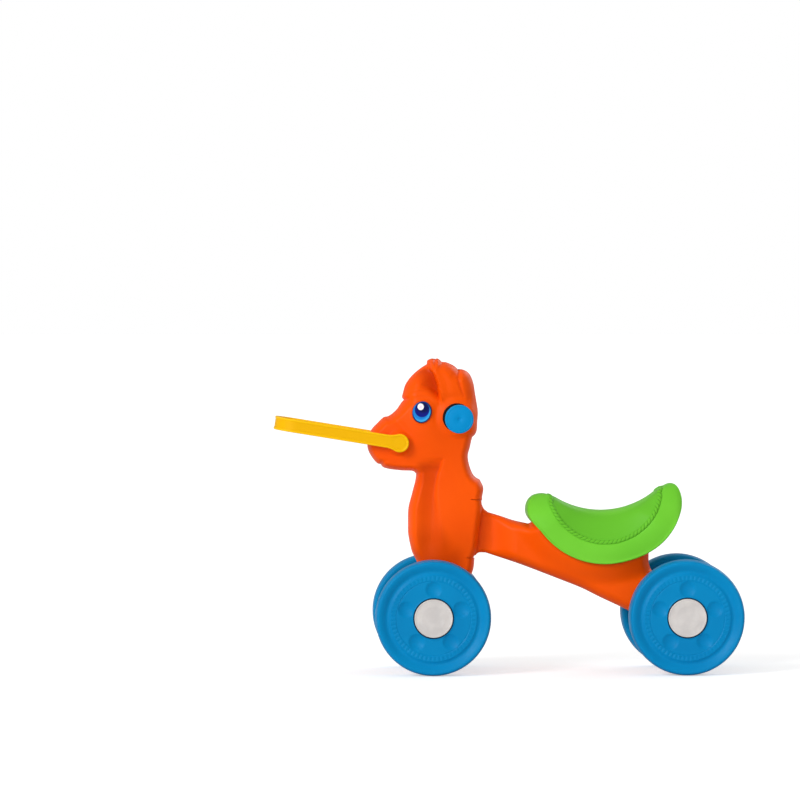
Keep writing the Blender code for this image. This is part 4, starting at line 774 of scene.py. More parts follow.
def frame_halves():
    """The two moulded halves of the beam, with the steering barrel and the saddle's cradle."""
    upper, lower, seat, corner, boss = frame_lines()
    stops = [
        (tuple(upper[0]), tuple(lower[0])),
        (from_front(0.0745, 0.1793), from_front(0.0690, 0.0922)),
        (from_front(0.0830, 0.1660), from_front(0.0745, 0.0965)),
        (from_front(0.0900, 0.1603), from_front(0.0855, 0.0968)),
        (from_front(0.1101, 0.1542), from_front(0.1024, 0.0912)),
        (from_rear(-0.2418, 0.1423), from_front(0.1330, 0.0810)),
        (seat[0], from_front(0.1470, 0.0762)),
        (seat[8], from_rear(-0.2020, 0.0575)),
        (seat[18], from_rear(-0.1480, 0.0358)),
        (seat[-1], from_rear(-0.1052, 0.0152)),
        (corner, from_rear(-0.0783, 0.0025)),
        (from_rear(-0.0120, 0.0455), from_rear(-0.0420, -0.0140)),
        (from_rear(0.0240, 0.0150), boss[15]),
        (tuple(upper[-1]), tuple(lower[-1])),
    ]
    edges = rails(upper, lower, stops)
    outline = np.vstack([upper, lower[::-1][1:], upper[:1]])
    screws = [from_front(0.114, 0.121), from_rear(-0.196, 0.082), from_rear(-0.125, 0.056), from_rear(-0.058, 0.042)]
    for side, word in SIDES:
        half = half_body(f"beam_{word}", side, edges, outline, frame_half, frame_edge, across=48)
        cut(half, half_barrel(side), "UNION")
        cut(half, axle_boss(side, REAR_X), "UNION")
        tool = weld(bored(side, (REAR_X, AXLE_Z), AXLE_BORE), bush_bore())
        if side > 0:
            for place in screws:
                tool = weld(tool, bored(side, place, SCREW_BORE))
        cut(half, tool)
        smooth(half, 38.0)
        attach(half, "frame")
        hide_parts(f"frame_shell_{word}")
        paint(half, orange)


def half_barrel(side):
    """Half a cylinder on the steering axis, flat towards the other half."""
    edge = math.asin(0.0002 / BARREL)
    return prism([(x, side * y) for x, y in arc(BARREL, edge, math.pi - edge, 25)], BARREL_LOW, BARREL_TALL)


def bush_bore():
    """The cutter for the bush, right through the barrel."""
    put_down()
    bpy.ops.mesh.primitive_cylinder_add(vertices=48, radius=BUSH_HOLE, depth=0.120)
    return moved(bpy.context.active_object, STEER_PLACE)


# The saddle

SEAT_RISE = [  # the seat's side: how high it has come, and how wide it still is
    (0.02, 0.998), (0.05, 0.990), (0.12, 0.968), (0.22, 0.936), (0.32, 0.902), (0.42, 0.866), (0.52, 0.828),
    (0.60, 0.794), (0.68, 0.752), (0.75, 0.706), (0.81, 0.652), (0.86, 0.590), (0.90, 0.520), (0.935, 0.440),
    (0.962, 0.350), (0.982, 0.250), (0.994, 0.140), (1.0, 0.0)]
LIP_IN, LIP_DOWN = 0.0026, 0.0018  # where the seat's side starts, in from the skirt and down from the edge
CROWN_AHEAD, CROWN_UP, CROWN_ARC = 0.0030, 0.0978, 0.1377  # the crown's arc: its centre from the saddle's, its radius
CORE_WALL = 0.0030  # how far the hollow under the seat stays inside the saddle
SADDLE_FRONT = math.radians(-82.0)
SADDLE_REAR = math.radians(91.0)
FRONT_TIP = math.radians(16.5)
REAR_TIP = math.radians(22.0)
NARROW_SPAN = math.radians(18.0)
TIP_CENTRE = 0.34  # where between seat and skirt the tips come to their end
TIP_SOFTNESS = 0.0110  # how far the tips' side walls round off towards the outside
TIP_WIDTH = 0.16  # how wide the very end of a tip still is
CORNER_START = math.radians(52.0)
CORNER_STOP = math.radians(86.0)
CORNER_LOSS = 0.36


def saddle_half(angle):
    """Half the saddle's width, which grows a little to the rear."""
    return 0.0520 + 0.0060 * (angle - SADDLE_FRONT) / (SADDLE_REAR - SADDLE_FRONT)


def crown_radius(angle):
    """How far the crown's arc is from the saddle's centre."""
    ahead = -CROWN_AHEAD * math.sin(angle) - CROWN_UP * math.cos(angle)
    return ahead + math.sqrt(ahead * ahead - CROWN_AHEAD ** 2 - CROWN_UP ** 2 + CROWN_ARC ** 2)


def saddle_fade(angle, span=1.0):
    """1 along the saddle, falling to 0 where its ends round off over a share of the tips' angles."""
    from_ends = min((angle - SADDLE_FRONT) / (FRONT_TIP * span), (SADDLE_REAR - angle) / (REAR_TIP * span))
    u = max(0.0, 1.0 - from_ends)
    return (1.0 - min(u, 1.0) ** 2.3) ** (1.0 / 2.3)


def drawn_in(angle, radius):
    """Where a radius of the section goes as the ends round off: long on the skirt's side, short on the seat's."""
    low, top = skirt_edge(angle), crown_radius(angle)
    centre = top + TIP_CENTRE * (low - top)
    return centre + (radius - centre) * saddle_fade(angle, 1.0 if radius > centre else 0.5)


def tip_narrowing(angle):
    """How much of its width the saddle keeps, which falls off in a round corner towards each end."""
    u = min(1.0, max(0.0, 1.0 - min(angle - SADDLE_FRONT, SADDLE_REAR - angle) / NARROW_SPAN))
    return TIP_WIDTH + (1.0 - TIP_WIDTH) * (1.0 - u ** 2.2) ** (1.0 / 2.0)


def plan_rounding(angle):
    """How much of its width the saddle keeps where its corners round off, seen from above."""
    return 1.0 - CORNER_LOSS * float(eased(abs(angle), CORNER_START, CORNER_STOP))


def seat_edge(angle):
    """The radius of the edge between the seat and the skirt, where the trim lies."""
    return max(SEAT_EDGE, crown_radius(angle) + EDGE_OUT)


def skirt_edge(angle):
    """The skirt's outer radius, which grows a little towards both ends."""
    front = 0.0062 * float(eased(-angle, math.radians(52.0), math.radians(70.0)))
    return SKIRT_RADIUS + front + 0.0042 * float(eased(angle, math.radians(12.0), math.radians(50.0)))


def saddle_section(angle, inset=0.0):
    """One closed section as (radius, y): bottom edge, skirt, rope groove, seat, and back down."""
    top = crown_radius(angle) + inset
    edge = seat_edge(angle) + 0.3 * inset
    half = saddle_half(angle) - inset
    if inset:
        low = SKIRT_RADIUS + 0.013
        skirt = [(low - 0.0004 * k, half) for k in range(6)]
    else:
        low = skirt_edge(angle)
        skirt = [(low - down, half + out) for down, out in (
            (0.0, -0.0012), (0.0004, 0.0002), (0.0012, 0.0008), (0.0022, 0.0008), (0.0030, 0.0003), (0.0040, 0.0002))]
    start, stop = low - 0.0045, edge + 0.0052
    skirt += [(start + (stop - start) * t, half + 0.0010 * math.sin(math.pi * t)) for t in np.linspace(0.06, 0.97, 10)]
    skirt += [(edge + 0.0044, half - 0.0006), (edge + 0.0030, half - 0.0022), (edge - 0.0004, half - LIP_IN),
              (edge - LIP_DOWN, half - LIP_IN)]
    foot = edge - LIP_DOWN
    seat = [(foot - (foot - top) * up, (half - LIP_IN) * wide) for up, wide in SEAT_RISE]
    side = skirt + seat
    bottom = [(low, y) for y in np.linspace(-half + 0.0012, half - 0.0012, 13)[1:-1]]
    section = np.array(side + [(r, -y) for r, y in reversed(side[:-1])] + bottom + side[:1])
    soft = TIP_SOFTNESS * float(eased(abs(angle), math.radians(58.0), math.radians(76.0)))
    if soft > 0.0001 and not inset:
        t = np.clip(1.0 - (low - section[:, 0]) / soft, 0.0, 1.0)
        section[:, 1] *= 1.0 - soft * (1.0 - np.sqrt(1.0 - t * t)) / half
    return section


def saddle_band(name, angles, inset=0.0):
    """The saddle's closed band over a run of angles, or its core where an inset is given."""
    rings = []
    for angle in angles:
        rounding = plan_rounding(angle) * (1.0 if inset else tip_narrowing(angle))
        ring = []
        for radius, y in saddle_section(angle, inset):
            x, z = from_saddle(angle, radius if inset else drawn_in(angle, radius))
            ring.append((x, y * rounding, z))
        rings.append(ring)
    rings = np.array(rings)
    along, across = rings.shape[0] - 1, rings.shape[1] - 1

    def lay(u, v):
        return rings[np.rint(v * along).astype(int), np.rint(u * across).astype(int)]
    return laid_grid(name, across, along, lay, fill=True)


def saddle():
    """The crescent saddle: crowned seat, side skirts and closed tips, hollow over the cradle."""
    tips = 1.0 - np.cos(np.linspace(0.0, math.pi / 2, 25))
    angles = list(SADDLE_FRONT + FRONT_TIP * tips)
    angles += list(np.linspace(SADDLE_FRONT + FRONT_TIP, SADDLE_REAR - REAR_TIP, 90)[1:-1])
    angles += list(SADDLE_REAR - REAR_TIP * tips[::-1])
    seat = saddle_band("saddle_seat", angles)
    hollow = np.linspace(CRADLE_FRONT - 0.006 / SKIRT_RADIUS, math.radians(64.0), 40)
    cut(seat, saddle_band("saddle_core", hollow, CORE_WALL))
    # Painted shade on the seat's rising sides inside the rope, fading out below the crown's top
    places = places_of(seat)
    reach = np.hypot(places[:, 0] - SADDLE_X, places[:, 2] - SADDLE_Z)
    angle = np.arctan2(places[:, 0] - SADDLE_X, SADDLE_Z - places[:, 2])
    foot = np.array([seat_edge(a) - LIP_DOWN for a in angle])
    up = (foot - reach) / (foot - np.array([crown_radius(a) for a in angle]))
    within = between(angle, ROPE_FRONT - 0.01, ROPE_FRONT + 0.03, ROPE_REAR - 0.03, ROPE_REAR + 0.01)
    mark(seat, "shade", between(up, -0.02, 0.03, 0.78, 0.93) * within)
    smooth(seat, 40.0)
    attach(seat, "frame")
    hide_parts("saddle")
    paint(seat, green)


ROPE_FRONT = math.radians(-77.0)
ROPE_REAR = math.radians(85.0)
ROPE_BOW = math.radians(2.5)  # how much further out its crossings reach in their middle
ROPE_LAY = 0.0142  # the length in which a strand goes once round
ROPE_THICK = (0.0037, 0.0026)  # across the saddle's side, and out of it


def rope_place(angle, across):
    """A place on the saddle that the rope can lie on: across is 0 at the left edge and 1 at the right."""
    top, edge, half = crown_radius(angle), seat_edge(angle), saddle_half(angle)
    foot = edge - LIP_DOWN
    seat = [(edge + 0.0013, half - 0.0014), (edge - 0.0006, half - 0.0018)]
    seat += [(foot - (foot - top) * up + 0.0006 + 0.0004 * up, (half - LIP_IN) * wide) for up, wide in SEAT_RISE]
    line = np.array([(r, -y) for r, y in seat[:-1]] + seat[::-1])
    run = run_of(line)
    radius, y = read_off(line, run, [across * run[-1]])[0]
    x, z = from_saddle(angle, drawn_in(angle, radius))
    return np.array([x, y * plan_rounding(angle) * tip_narrowing(angle), z])


def rope_line(count):
    """The closed line that the rope follows, down one side, over the tip and back up the other side."""
    turn, reach, side_parts = math.radians(7.0), 0.11, 260

    def half_tip(end, way):
        """From a side round the corner and on to the middle of a tip."""
        bend = [(end - way * turn * (1.0 - math.sin(t)), reach * (1.0 - math.cos(t)))
                for t in np.linspace(0.0, math.pi / 2, 16)[1:]]
        return bend + [(end, across) for across in np.linspace(reach, 0.5, 40)[1:]]

    rear, front = half_tip(ROPE_REAR, 1), half_tip(ROPE_FRONT, -1)
    side = np.linspace(ROPE_FRONT + turn, ROPE_REAR - turn, side_parts)
    loop = [(a, 0.0) for a in side] + rear + [(a, 1.0 - p) for a, p in reversed(rear[:-1])]
    loop += [(a, 1.0) for a in side[::-1]] + [(a, 1.0 - p) for a, p in front] + front[-2::-1]
    line, out = [], []
    for angle, across in loop:
        angle += math.copysign(ROPE_BOW * math.sin(math.pi * across), angle)
        here = rope_place(angle, across)
        along = rope_place(angle + 0.004, across) - rope_place(angle - 0.004, across)
        over = rope_place(angle, min(1.0, across + 0.012)) - rope_place(angle, max(0.0, across - 0.012))
        face = np.cross(along, over)
        inner = from_saddle(angle, (skirt_edge(angle) + crown_radius(angle)) / 2)
        outward = here - np.array([inner[0], 0.0, inner[1]])
        face *= math.copysign(1.0 / max(np.linalg.norm(face), 1e-12), float(np.dot(face, outward)))
        line.append(here)
        out.append(face)
    line, out = np.array(line + line[:1]), np.array(out + out[:1])
    run = run_of(line)
    marks = np.linspace(0.0, run[-1], count)
    out = read_off(out, run, marks)
    return read_off(line, run, marks), out / np.linalg.norm(out, axis=1)[:, None], run[-1]


def rope_size(spine):
    """How thick the rope is, less where it crosses a tip."""
    return 0.66 + 0.34 * eased(np.abs(spine[:, 1]), 0.008, 0.026)


def saddle_trim():
    """The moulded rope round the edge of the seat, with its two twisted strands."""
    count = 1300
    spine, out, length = rope_line(count)
    ahead = np.roll(spine[:-1], -1, axis=0) - np.roll(spine[:-1], 1, axis=0)
    ahead = np.vstack([ahead, ahead[:1]])
    up = np.cross(ahead, out)
    up /= np.linalg.norm(up, axis=1)[:, None]
    lay_length = length / round(length / ROPE_LAY)
    size = rope_size(spine)

    def lay(u, v):
        row = np.rint(v * (count - 1)).astype(int)
        turn = 2 * math.pi * u
        strand = np.abs(np.cos(turn + 2 * math.pi * v * length / lay_length)) ** 0.7
        thick = (0.74 + 0.26 * strand) * size[row]
        sideways = (np.cos(turn) * thick * ROPE_THICK[1])[:, None] * out[row]
        return spine[row] + sideways + (np.sin(turn) * thick * ROPE_THICK[0])[:, None] * up[row]
    trim = laid_grid("saddle_trim", 22, count - 1, lay)
    mark_groove_shade(trim, spine, out)
    smooth(trim, 60.0)
    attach(trim, "frame")
    paint(trim, rope_green)


def mark_groove_shade(trim, spine, out):
    """Marks painted shade in the valleys between the strands, 1 in the valley and 0 on a strand, for the rope's
    finish.
    """
    places = places_of(trim)
    size = rope_size(spine)
    groove_shade = np.zeros(len(places))
    for start in range(0, len(places), AT_ONCE):
        part = places[start:start + AT_ONCE]
        apart = part[:, None, :] - spine[None]
        near = np.argmin(np.linalg.norm(apart, axis=2), axis=1)
        off = apart[np.arange(len(part)), near]
        proud = np.sum(off * out[near], axis=1)
        aside = np.sqrt(np.maximum(np.sum(off * off, axis=1) - proud ** 2, 0.0))
        level = np.hypot(proud / ROPE_THICK[1], aside / ROPE_THICK[0])
        groove_shade[start:start + AT_ONCE] = 1.0 - eased(level / size[near], 0.76, 0.88)
    mark(trim, "shade", groove_shade)


# The wheels

def raised(level, points):
    """Points of a section whose heights are given from a level."""
    return [(radius, level + up) for radius, up in points]


def wheel_section():
    """The wheel's half section from the bore round the dished outer face, the tread and the inner face."""
    well = [(AXLE_HOLE, NUT_FLOOR), (NUT_WELL, NUT_FLOOR), (NUT_WELL, CAP_FLOOR), (CAP_RING - 0.0004, CAP_FLOOR),
            (CAP_RING, CAP_FLOOR + 0.0004)]
    disc = [(CAP_RING, 0.0001), (CAP_RING + 0.0004, 0.0006), (CAP_RING + 0.0014, 0.0006), (CAP_RING + 0.0022, 0.0001)]
    disc += [(r, 0.0) for r in np.arange(0.0344, 0.0570, 0.0013)]
    disc += [(0.0573, 0.0), (0.0579, -0.0003), (0.0585, 0.0), (0.0592, 0.0004)]
    disc += [(r, 0.0006) for r in np.arange(0.0600, 0.0662, 0.0010)]
    disc += [(0.0668, 0.0003), (0.0676, -0.0002), (0.0690, -0.0010), (0.0704, -0.0016), (0.0718, -0.0018),
             (0.0732, -0.0016), (0.0748, -0.0009), (0.0765, 0.0001), (0.0782, 0.0011), (0.0800, 0.0020),
             (0.0818, 0.0027), (0.0834, 0.0031)]
    rim = raised(WHEEL_HALF, [(0.0848, -0.0002), (0.0860, -0.0003), (0.0869, -0.0009), (0.0876, -0.0020),
                              (0.0883, -0.0036), (0.0890, -0.0062), (0.0896, -0.0094), (0.0899, -0.0130)])
    rim.append((WHEEL_RADIUS, 0.0070))
    inner = [(r, -y) for r, y in reversed(rim)]
    inner += raised(-WHEEL_HALF, [(0.0815, 0.0008), (0.0800, 0.0022), (0.0785, 0.0022), (0.0772, 0.0010),
                                  (0.0758, 0.0008), (0.0744, 0.0020), (0.0728, 0.0044), (0.0710, 0.0048)])
    inner += raised(-DISC_FACE, [(0.0695, 0.0), (0.0620, 0.0), (0.0610, 0.0012), (0.0560, 0.0020), (0.0400, 0.0022),
                                 (0.0260, 0.0018), (0.0200, 0.0004), (0.0190, 0.0), (0.0120, 0.0), (AXLE_HOLE, 0.0)])
    return well + raised(DISC_FACE, disc) + rim + [(WHEEL_RADIUS, 0.0)] + inner + well[:1]


def cap_section():
    """The hub cap's half section: a plain dished disc with a faint ring."""
    rim = ((0.0, 0.0006), (0.0002, 0.0002), (0.0006, 0.0), (0.0016, 0.0), (0.0021, 0.0002), (0.0024, 0.0006),
           (0.0030, 0.0007))
    return ([(0.0, CAP_FLOOR + 0.0003), (CAP_RADIUS, CAP_FLOOR + 0.0003)]
            + [(CAP_RADIUS - inward, CAP_FACE - down) for inward, down in rim]
            + raised(CAP_FACE, [(0.0190, -0.0005), (0.0184, -0.0004), (0.0176, -0.0004), (0.0170, -0.0005),
                                (0.0080, -0.0003), (0.0, -0.00028)]))


def dish_dimples(obj):
    """Presses the round dimples into the outer face, the first one at the top."""
    places = places_of(obj)
    face = places[:, 1] > DISC_FACE - 0.0002
    for k in range(DIMPLES):
        angle = 2 * math.pi * k / DIMPLES
        reach = np.hypot(places[:, 0] - DIMPLE_PITCH * math.sin(angle), places[:, 2] - DIMPLE_PITCH * math.cos(angle))
        bowl = np.clip(1.0 - (reach / DIMPLE_RADIUS) ** 2, 0.0, 1.0)
        places[:, 1] -= np.where(face, DIMPLE_DEPTH * bowl ** 0.8, 0.0)
    put_places(obj, places)


def raise_ticks(obj):
    """A ring of short raised bars round the disc, low and plain."""
    places = places_of(obj)
    reach = np.hypot(places[:, 0], places[:, 2])
    turn = np.arctan2(places[:, 0], places[:, 2]) * TICKS / (2 * math.pi)
    bar = eased(np.abs((turn % 1.0) - 0.5), 0.16, 0.30)
    band = (reach > 0.0596) & (reach < 0.0662) & (places[:, 1] > DISC_FACE)
    places[:, 1] -= np.where(band, TICK_HEIGHT * (1.0 - bar), 0.0)
    put_places(obj, places)


def wheels():
    """One wheel turned and dished, then copied to the four axle ends with its cap."""
    wheel = turned("wheel", wheel_section(), 240)
    dish_dimples(wheel)
    raise_ticks(wheel)
    # Painted shade in the recess round the hub cap, on the outer side only
    places = places_of(wheel)
    reach = np.hypot(places[:, 0], places[:, 2])
    mark(wheel, "shade", (1.0 - eased(reach, CAP_RING + 0.0001, CAP_RING + 0.0008)) * (places[:, 1] > 0.0))
    cap = turned("cap", cap_section())
    for end, x in (("front", FRONT_X), ("rear", REAR_X)):
        for side, word in SIDES:
            placing = Matrix.Translation((x, side * TRACK_HALF, AXLE_Z)) @ Matrix.Diagonal((1.0, side, 1.0, 1.0))
            for pattern, name, replaced, finish, slot in (
                    (wheel, f"tyre_{end}_{word}", f"wheel_{end}_{word}", wheel_blue, "blue_plastic"),
                    (cap, f"cap_{end}_{word}", f"hub_cap_{end}_{word}", silver, "silver_plastic")):
                piece = moved(copied(pattern, name), placing)
                smooth(piece, 30.0)
                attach(piece, f"{end}_{word}_wheel")
                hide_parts(replaced)
                paint(piece, finish)
    for pattern in (wheel, cap):
        bpy.data.objects.remove(pattern, do_unlink=True)


# Grips and collars

def grips():
    """Turned grips with finger ribs and a large round end, and the black collars against the head."""
    section = [(0.0, GRIP_BORE_END), (BAR_HOLE, GRIP_BORE_END), (BAR_HOLE, GRIP_START), (0.0139, GRIP_START),
               (GRIP_RADIUS, GRIP_START + 0.0006)]
    for y in np.arange(GRIP_START + 0.004, GRIP_DISC - 0.006, 0.0011):
        rib = 0.5 - 0.5 * math.cos(2 * math.pi * (y - GRIP_START - 0.004) / RIB_PITCH)
        section.append((GRIP_RADIUS + RIB_HEIGHT * rib, y))
    section += raised(GRIP_DISC, [(GRIP_RADIUS, -0.0030), (0.0152, -0.0012), (0.0175, 0.0), (0.0208, 0.0006),
                                  (0.0217, 0.0014), (0.0222, 0.0028)])
    section += raised(GRIP_END, [(0.0222, -0.0026), (0.0217, -0.0012), (0.0207, -0.0004), (0.0196, -0.0001),
                                 (0.0190, -0.0004), (0.0184, -0.0004), (0.0174, -0.0001), (0.0100, 0.0),
                                 (0.0026, 0.0), (0.0020, -0.0004), (0.0016, -0.0010), (0.0, -0.0011)])
    ring = [(BAR_HOLE, 0.0428), (COLLAR_RADIUS - 0.0004, 0.0428), (COLLAR_RADIUS, 0.0432), (COLLAR_RADIUS, 0.0456),
            (COLLAR_RADIUS - 0.0005, 0.0464), (COLLAR_RADIUS - 0.0013, 0.0468), (0.0168, 0.0468), (0.0164, 0.0465),
            (BAR_HOLE, 0.0465), (BAR_HOLE, 0.0428)]
    x, z = from_front(*BAR)
    for side, word in SIDES:
        placing = Matrix.Translation((x, 0.0, z))
        grip = moved(turned(f"grip_sleeve_{word}", section, side=side), placing)
        collar = moved(turned(f"collar_{word}", ring, side=side), placing)
        for piece, replaced, finish, slot in ((grip, f"grip_{word}", grip_blue, "blue_plastic"),
                                              (collar, f"grip_collar_{word}", black, "black_plastic")):
            smooth(piece, 40.0)
            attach(piece, "pony")
            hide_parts(replaced)
            paint(piece, finish)


# The rein handle

def rein_side_height(x):
    """Half the arm's height at a distance from the pivot: an arm that flares into a disc."""
    if x > REIN_NECK:
        return math.sqrt(max(0.0, REIN_DISC ** 2 - x * x))
    t = min(1.0, max(0.0, (x + 0.020) / 0.0135))
    return REIN_HALF + 0.0026 * t * t


def rein_handle():
    """The U-shaped pull handle: one bar swept round, with a disc at each end and a raised rim."""
    centre_y = REIN_INNER + REIN_THICK / 2
    bend = (REIN_CORNER - REIN_REACH, REIN_CORNER - centre_y)
    tip = REIN_DISC * np.cos(np.linspace(0.0, math.pi / 2, 15))
    plan = [(x, -centre_y) for x in [*tip, *np.linspace(0.0, bend[0], 70)[1:]]]
    plan += [(bend[0] - y, bend[1] - x) for x, y in arc(REIN_CORNER, 0.0, math.pi / 2, 24)[1:]]
    plan += [(-REIN_REACH, y) for y in np.linspace(bend[1], 0.0, 12)[1:]]
    plan = np.array(plan + [(x, -y) for x, y in reversed(plan[:-1])])
    run = run_of(plan)
    along = np.gradient(plan, axis=0)
    along[:16] = (-1.0, 0.0)
    along[-16:] = (1.0, 0.0)
    along /= np.linalg.norm(along, axis=1)[:, None]
    out = np.stack([along[:, 1], -along[:, 0]], 1)
    out *= np.where(np.sum(out * (plan - np.array([-0.09, 0.0])), axis=1) < 0, -1.0, 1.0)[:, None]
    height = np.array([rein_side_height(x) if abs(y) > centre_y - 1e-6 else REIN_HALF for x, y in plan])
    border = np.vstack([np.stack([run, height], 1), np.stack([run[::-1], -height[::-1]], 1)])
    border = np.vstack([border, border[:1]])
    face = 22  # parts across the outer face, and as many across the inner one
    levels = -np.cos(math.pi * (np.arange(face + 1) / face))
    levels = np.concatenate([levels, -levels, [-1.0]])
    ways = np.repeat([1.0, -1.0, 1.0], [face + 1, face + 1, 1])

    def lay(u, v):
        row = np.rint(v * (len(plan) - 1)).astype(int)
        column = np.rint(u * (2 * face + 2)).astype(int)
        z = levels[column] * height[row]
        depth = depth_in(border, np.stack([run[row], z], 1))
        soft = 0.0018
        away = REIN_THICK / 2 - soft + np.sqrt(np.maximum(0.0, soft ** 2 - np.maximum(0.0, soft - depth) ** 2))
        panel = eased(depth, 0.0022, 0.0031)
        pivot = np.hypot(np.minimum(run[row], run[-1] - run[row]) - REIN_DISC, z)
        away = away - (0.0010 + 0.0004 * ridge(pivot - 0.0098, 0.0006)) * panel
        flat = plan[row] + out[row] * (ways[column] * away)[:, None]
        return np.stack([flat[:, 0], flat[:, 1], z], 1)
    handle = laid_grid("rein_bar", 2 * face + 2, len(plan) - 1, lay)
    stub = [(0.0, 0.0318), (0.0056, 0.0318), (0.0065, 0.0327), (0.0065, REIN_INNER + 0.0012),
            (0.0, REIN_INNER + 0.0012)]
    for side, _ in SIDES:
        cut(handle, turned("stub", stub, 40, side), "UNION")
    # Painted shade: the recessed face inside the raised rim turns a deeper yellow, so the rim reads lighter
    x, y, z = places_of(handle).T
    tall = np.array([rein_side_height(place) for place in x])
    rim = np.where(x > REIN_NECK, REIN_DISC - np.hypot(x, z), tall - np.abs(z))
    mark(handle, "shade", eased(rim, 0.0020, 0.0032))
    x, z = from_front(*REIN)
    moved(handle, Matrix.Translation((x, 0.0, z)) @ Matrix.Rotation(REIN_TILT, 4, "Y"))
    smooth(handle, 40.0)
    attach(handle, "rein")
    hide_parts("rein_handle")
    paint(handle, yellow)


# Finishes

def group(name, sockets, outputs):
    """A shader node group with named inputs and outputs."""
    tree = bpy.data.node_groups.new(name, "ShaderNodeTree")
    for label, kind, value in sockets:
        made = tree.interface.new_socket(name=label, in_out="INPUT", socket_type=kind)
        made.default_value = value
    for label, kind in outputs:
        tree.interface.new_socket(name=label, in_out="OUTPUT", socket_type=kind)
    return tree, tree.nodes.new("NodeGroupInput"), tree.nodes.new("NodeGroupOutput")


def node(tree, kind, links=None, **settings):
    """A node with its settings and its inputs, each a value or another node's socket."""
    made = tree.nodes.new(kind)
    for key, value in settings.items():
        setattr(made, key, value)
    for key, value in (links or {}).items():
        if isinstance(value, bpy.types.NodeSocket):
            tree.links.new(value, made.inputs[key])
        else:
            made.inputs[key].default_value = value
    return made


def moulded_skin():
    """Group: the skin of moulded plastic. Fine grain, slow waves, and a drift of tone."""
    tree, given, out = group("moulded_skin",
                             [("Vector", "NodeSocketVector", (0.0, 0.0, 0.0)), ("Grain", "NodeSocketFloat", 900.0),
                              ("Drift", "NodeSocketFloat", 9.0)],
                             [(label, "NodeSocketFloat") for label in ("Height", "Drift", "Gloss")])
    fine, slow, mid = [
        node(tree, "ShaderNodeTexNoise", {"Vector": given.outputs["Vector"], "Scale": scale, "Detail": detail,
                                          "Roughness": rough}).outputs["Fac"]
        for scale, detail, rough in ((given.outputs["Grain"], 2.0, 0.5), (given.outputs["Drift"], 3.0, 0.55),
                                     (70.0, 4.0, 0.6))]
    height = node(tree, "ShaderNodeMath", {0: fine, 1: mid}, operation="ADD")
    gloss = node(tree, "ShaderNodeMapRange", {"Value": mid, "From Min": 0.3, "From Max": 0.7})
    tree.links.new(height.outputs[0], out.inputs["Height"])
    tree.links.new(slow, out.inputs["Drift"])
    tree.links.new(gloss.outputs["Result"], out.inputs["Gloss"])
    return tree


SKIN = moulded_skin()


def linear(colour):
    """A colour given as a screen shows it, as the shader wants it."""
    return tuple((c / 255 / 12.92) if c / 255 <= 0.04045 else ((c / 255 + 0.055) / 1.055) ** 2.4
                 for c in colour) + (1.0,)


def blend(tree, share, under, over):
    """Two colours mixed by a share, each a colour or another node's socket."""
    return node(tree, "ShaderNodeMix", {"Factor": share, 6: under, 7: over}, data_type="RGBA").outputs[2]


def plastic(name, light, dark, rough=(0.34, 0.46), bump_height=0.00004, grain=900.0, drift=9.0):
    """Moulded plastic: two close tones that drift over it, a fine grain and an uneven gloss."""
    made = bpy.data.materials.new(name)
    made.use_nodes = True
    tree = made.node_tree
    shader = tree.nodes["Principled BSDF"]
    where = node(tree, "ShaderNodeTexCoord")
    skin = node(tree, "ShaderNodeGroup", node_tree=SKIN)
    tree.links.new(where.outputs["Object"], skin.inputs["Vector"])
    skin.inputs["Grain"].default_value = grain
    skin.inputs["Drift"].default_value = drift
    tone = node(tree, "ShaderNodeMapRange", {"Value": skin.outputs["Drift"], "From Min": 0.35, "From Max": 0.65})
    tree.links.new(blend(tree, tone.outputs["Result"], linear(light), linear(dark)), shader.inputs["Base Color"])
    gloss = node(tree, "ShaderNodeMapRange", {"Value": skin.outputs["Gloss"], "To Min": rough[0], "To Max": rough[1]})
    tree.links.new(gloss.outputs["Result"], shader.inputs["Roughness"])
    relief = node(tree, "ShaderNodeBump", {"Strength": 1.0, "Distance": bump_height,
                                           "Height": skin.outputs["Height"]})
    tree.links.new(relief.outputs["Normal"], shader.inputs["Normal"])
    shader.inputs["Specular IOR Level"].default_value = 0.08
    return made


def metal(name, light, dark, rough):
    """Drawn or plated metal with a faint unevenness."""
    made = plastic(name, light, dark, rough, bump_height=0.00002, grain=1400.0)
    made.node_tree.nodes["Principled BSDF"].inputs["Metallic"].default_value = 1.0
    return made


def shaded(made, deeper):
    """Lets a finish turn to a deeper tone where its piece is marked with shade."""
    tree = made.node_tree
    colour = tree.nodes["Principled BSDF"].inputs["Base Color"]
    given = node(tree, "ShaderNodeAttribute", attribute_name="shade")
    tree.links.new(blend(tree, given.outputs["Fac"], colour.links[0].from_socket, linear(deeper)), colour)
    return made


# Each deeper tone given to shaded() below is painted shade where its piece is marked: the pony's hollows, the recess
# round the wheels' caps, the seat's sides, the rope's grooves and the rein's recessed face
orange = plastic("orange_moulding", (254, 89, 0), (249, 84, 0))
pony_orange = shaded(plastic("pony_orange", (254, 89, 0), (249, 84, 0)), (198, 57, 0))
grip_blue = plastic("grip_blue", (0, 143, 206), (0, 136, 198))
wheel_blue = shaded(plastic("wheel_blue", (0, 135, 192), (0, 127, 184)), (0, 50, 88))
green = shaded(plastic("green_moulding", (118, 208, 56), (110, 200, 50)), (102, 188, 46))
rope_green = shaded(plastic("rope_green", (108, 196, 48), (102, 188, 44)), (52, 132, 20))
yellow = shaded(plastic("yellow_moulding", (255, 200, 16), (250, 194, 10)), (240, 180, 0))
black = plastic("black_moulding", (22, 22, 24), (14, 14, 16), (0.40, 0.55))
silver = plastic("silver_foil", (216, 211, 207), (202, 197, 194), (0.30, 0.42), bump_height=0.00006, grain=500.0,
                 drift=40.0)
steel = metal("bright_steel", (196, 198, 202), (176.4, 178.2, 181.8), (0.22, 0.34))
nylon = plastic("white_nylon", (236, 236, 230), (228, 228, 222), (0.42, 0.5))


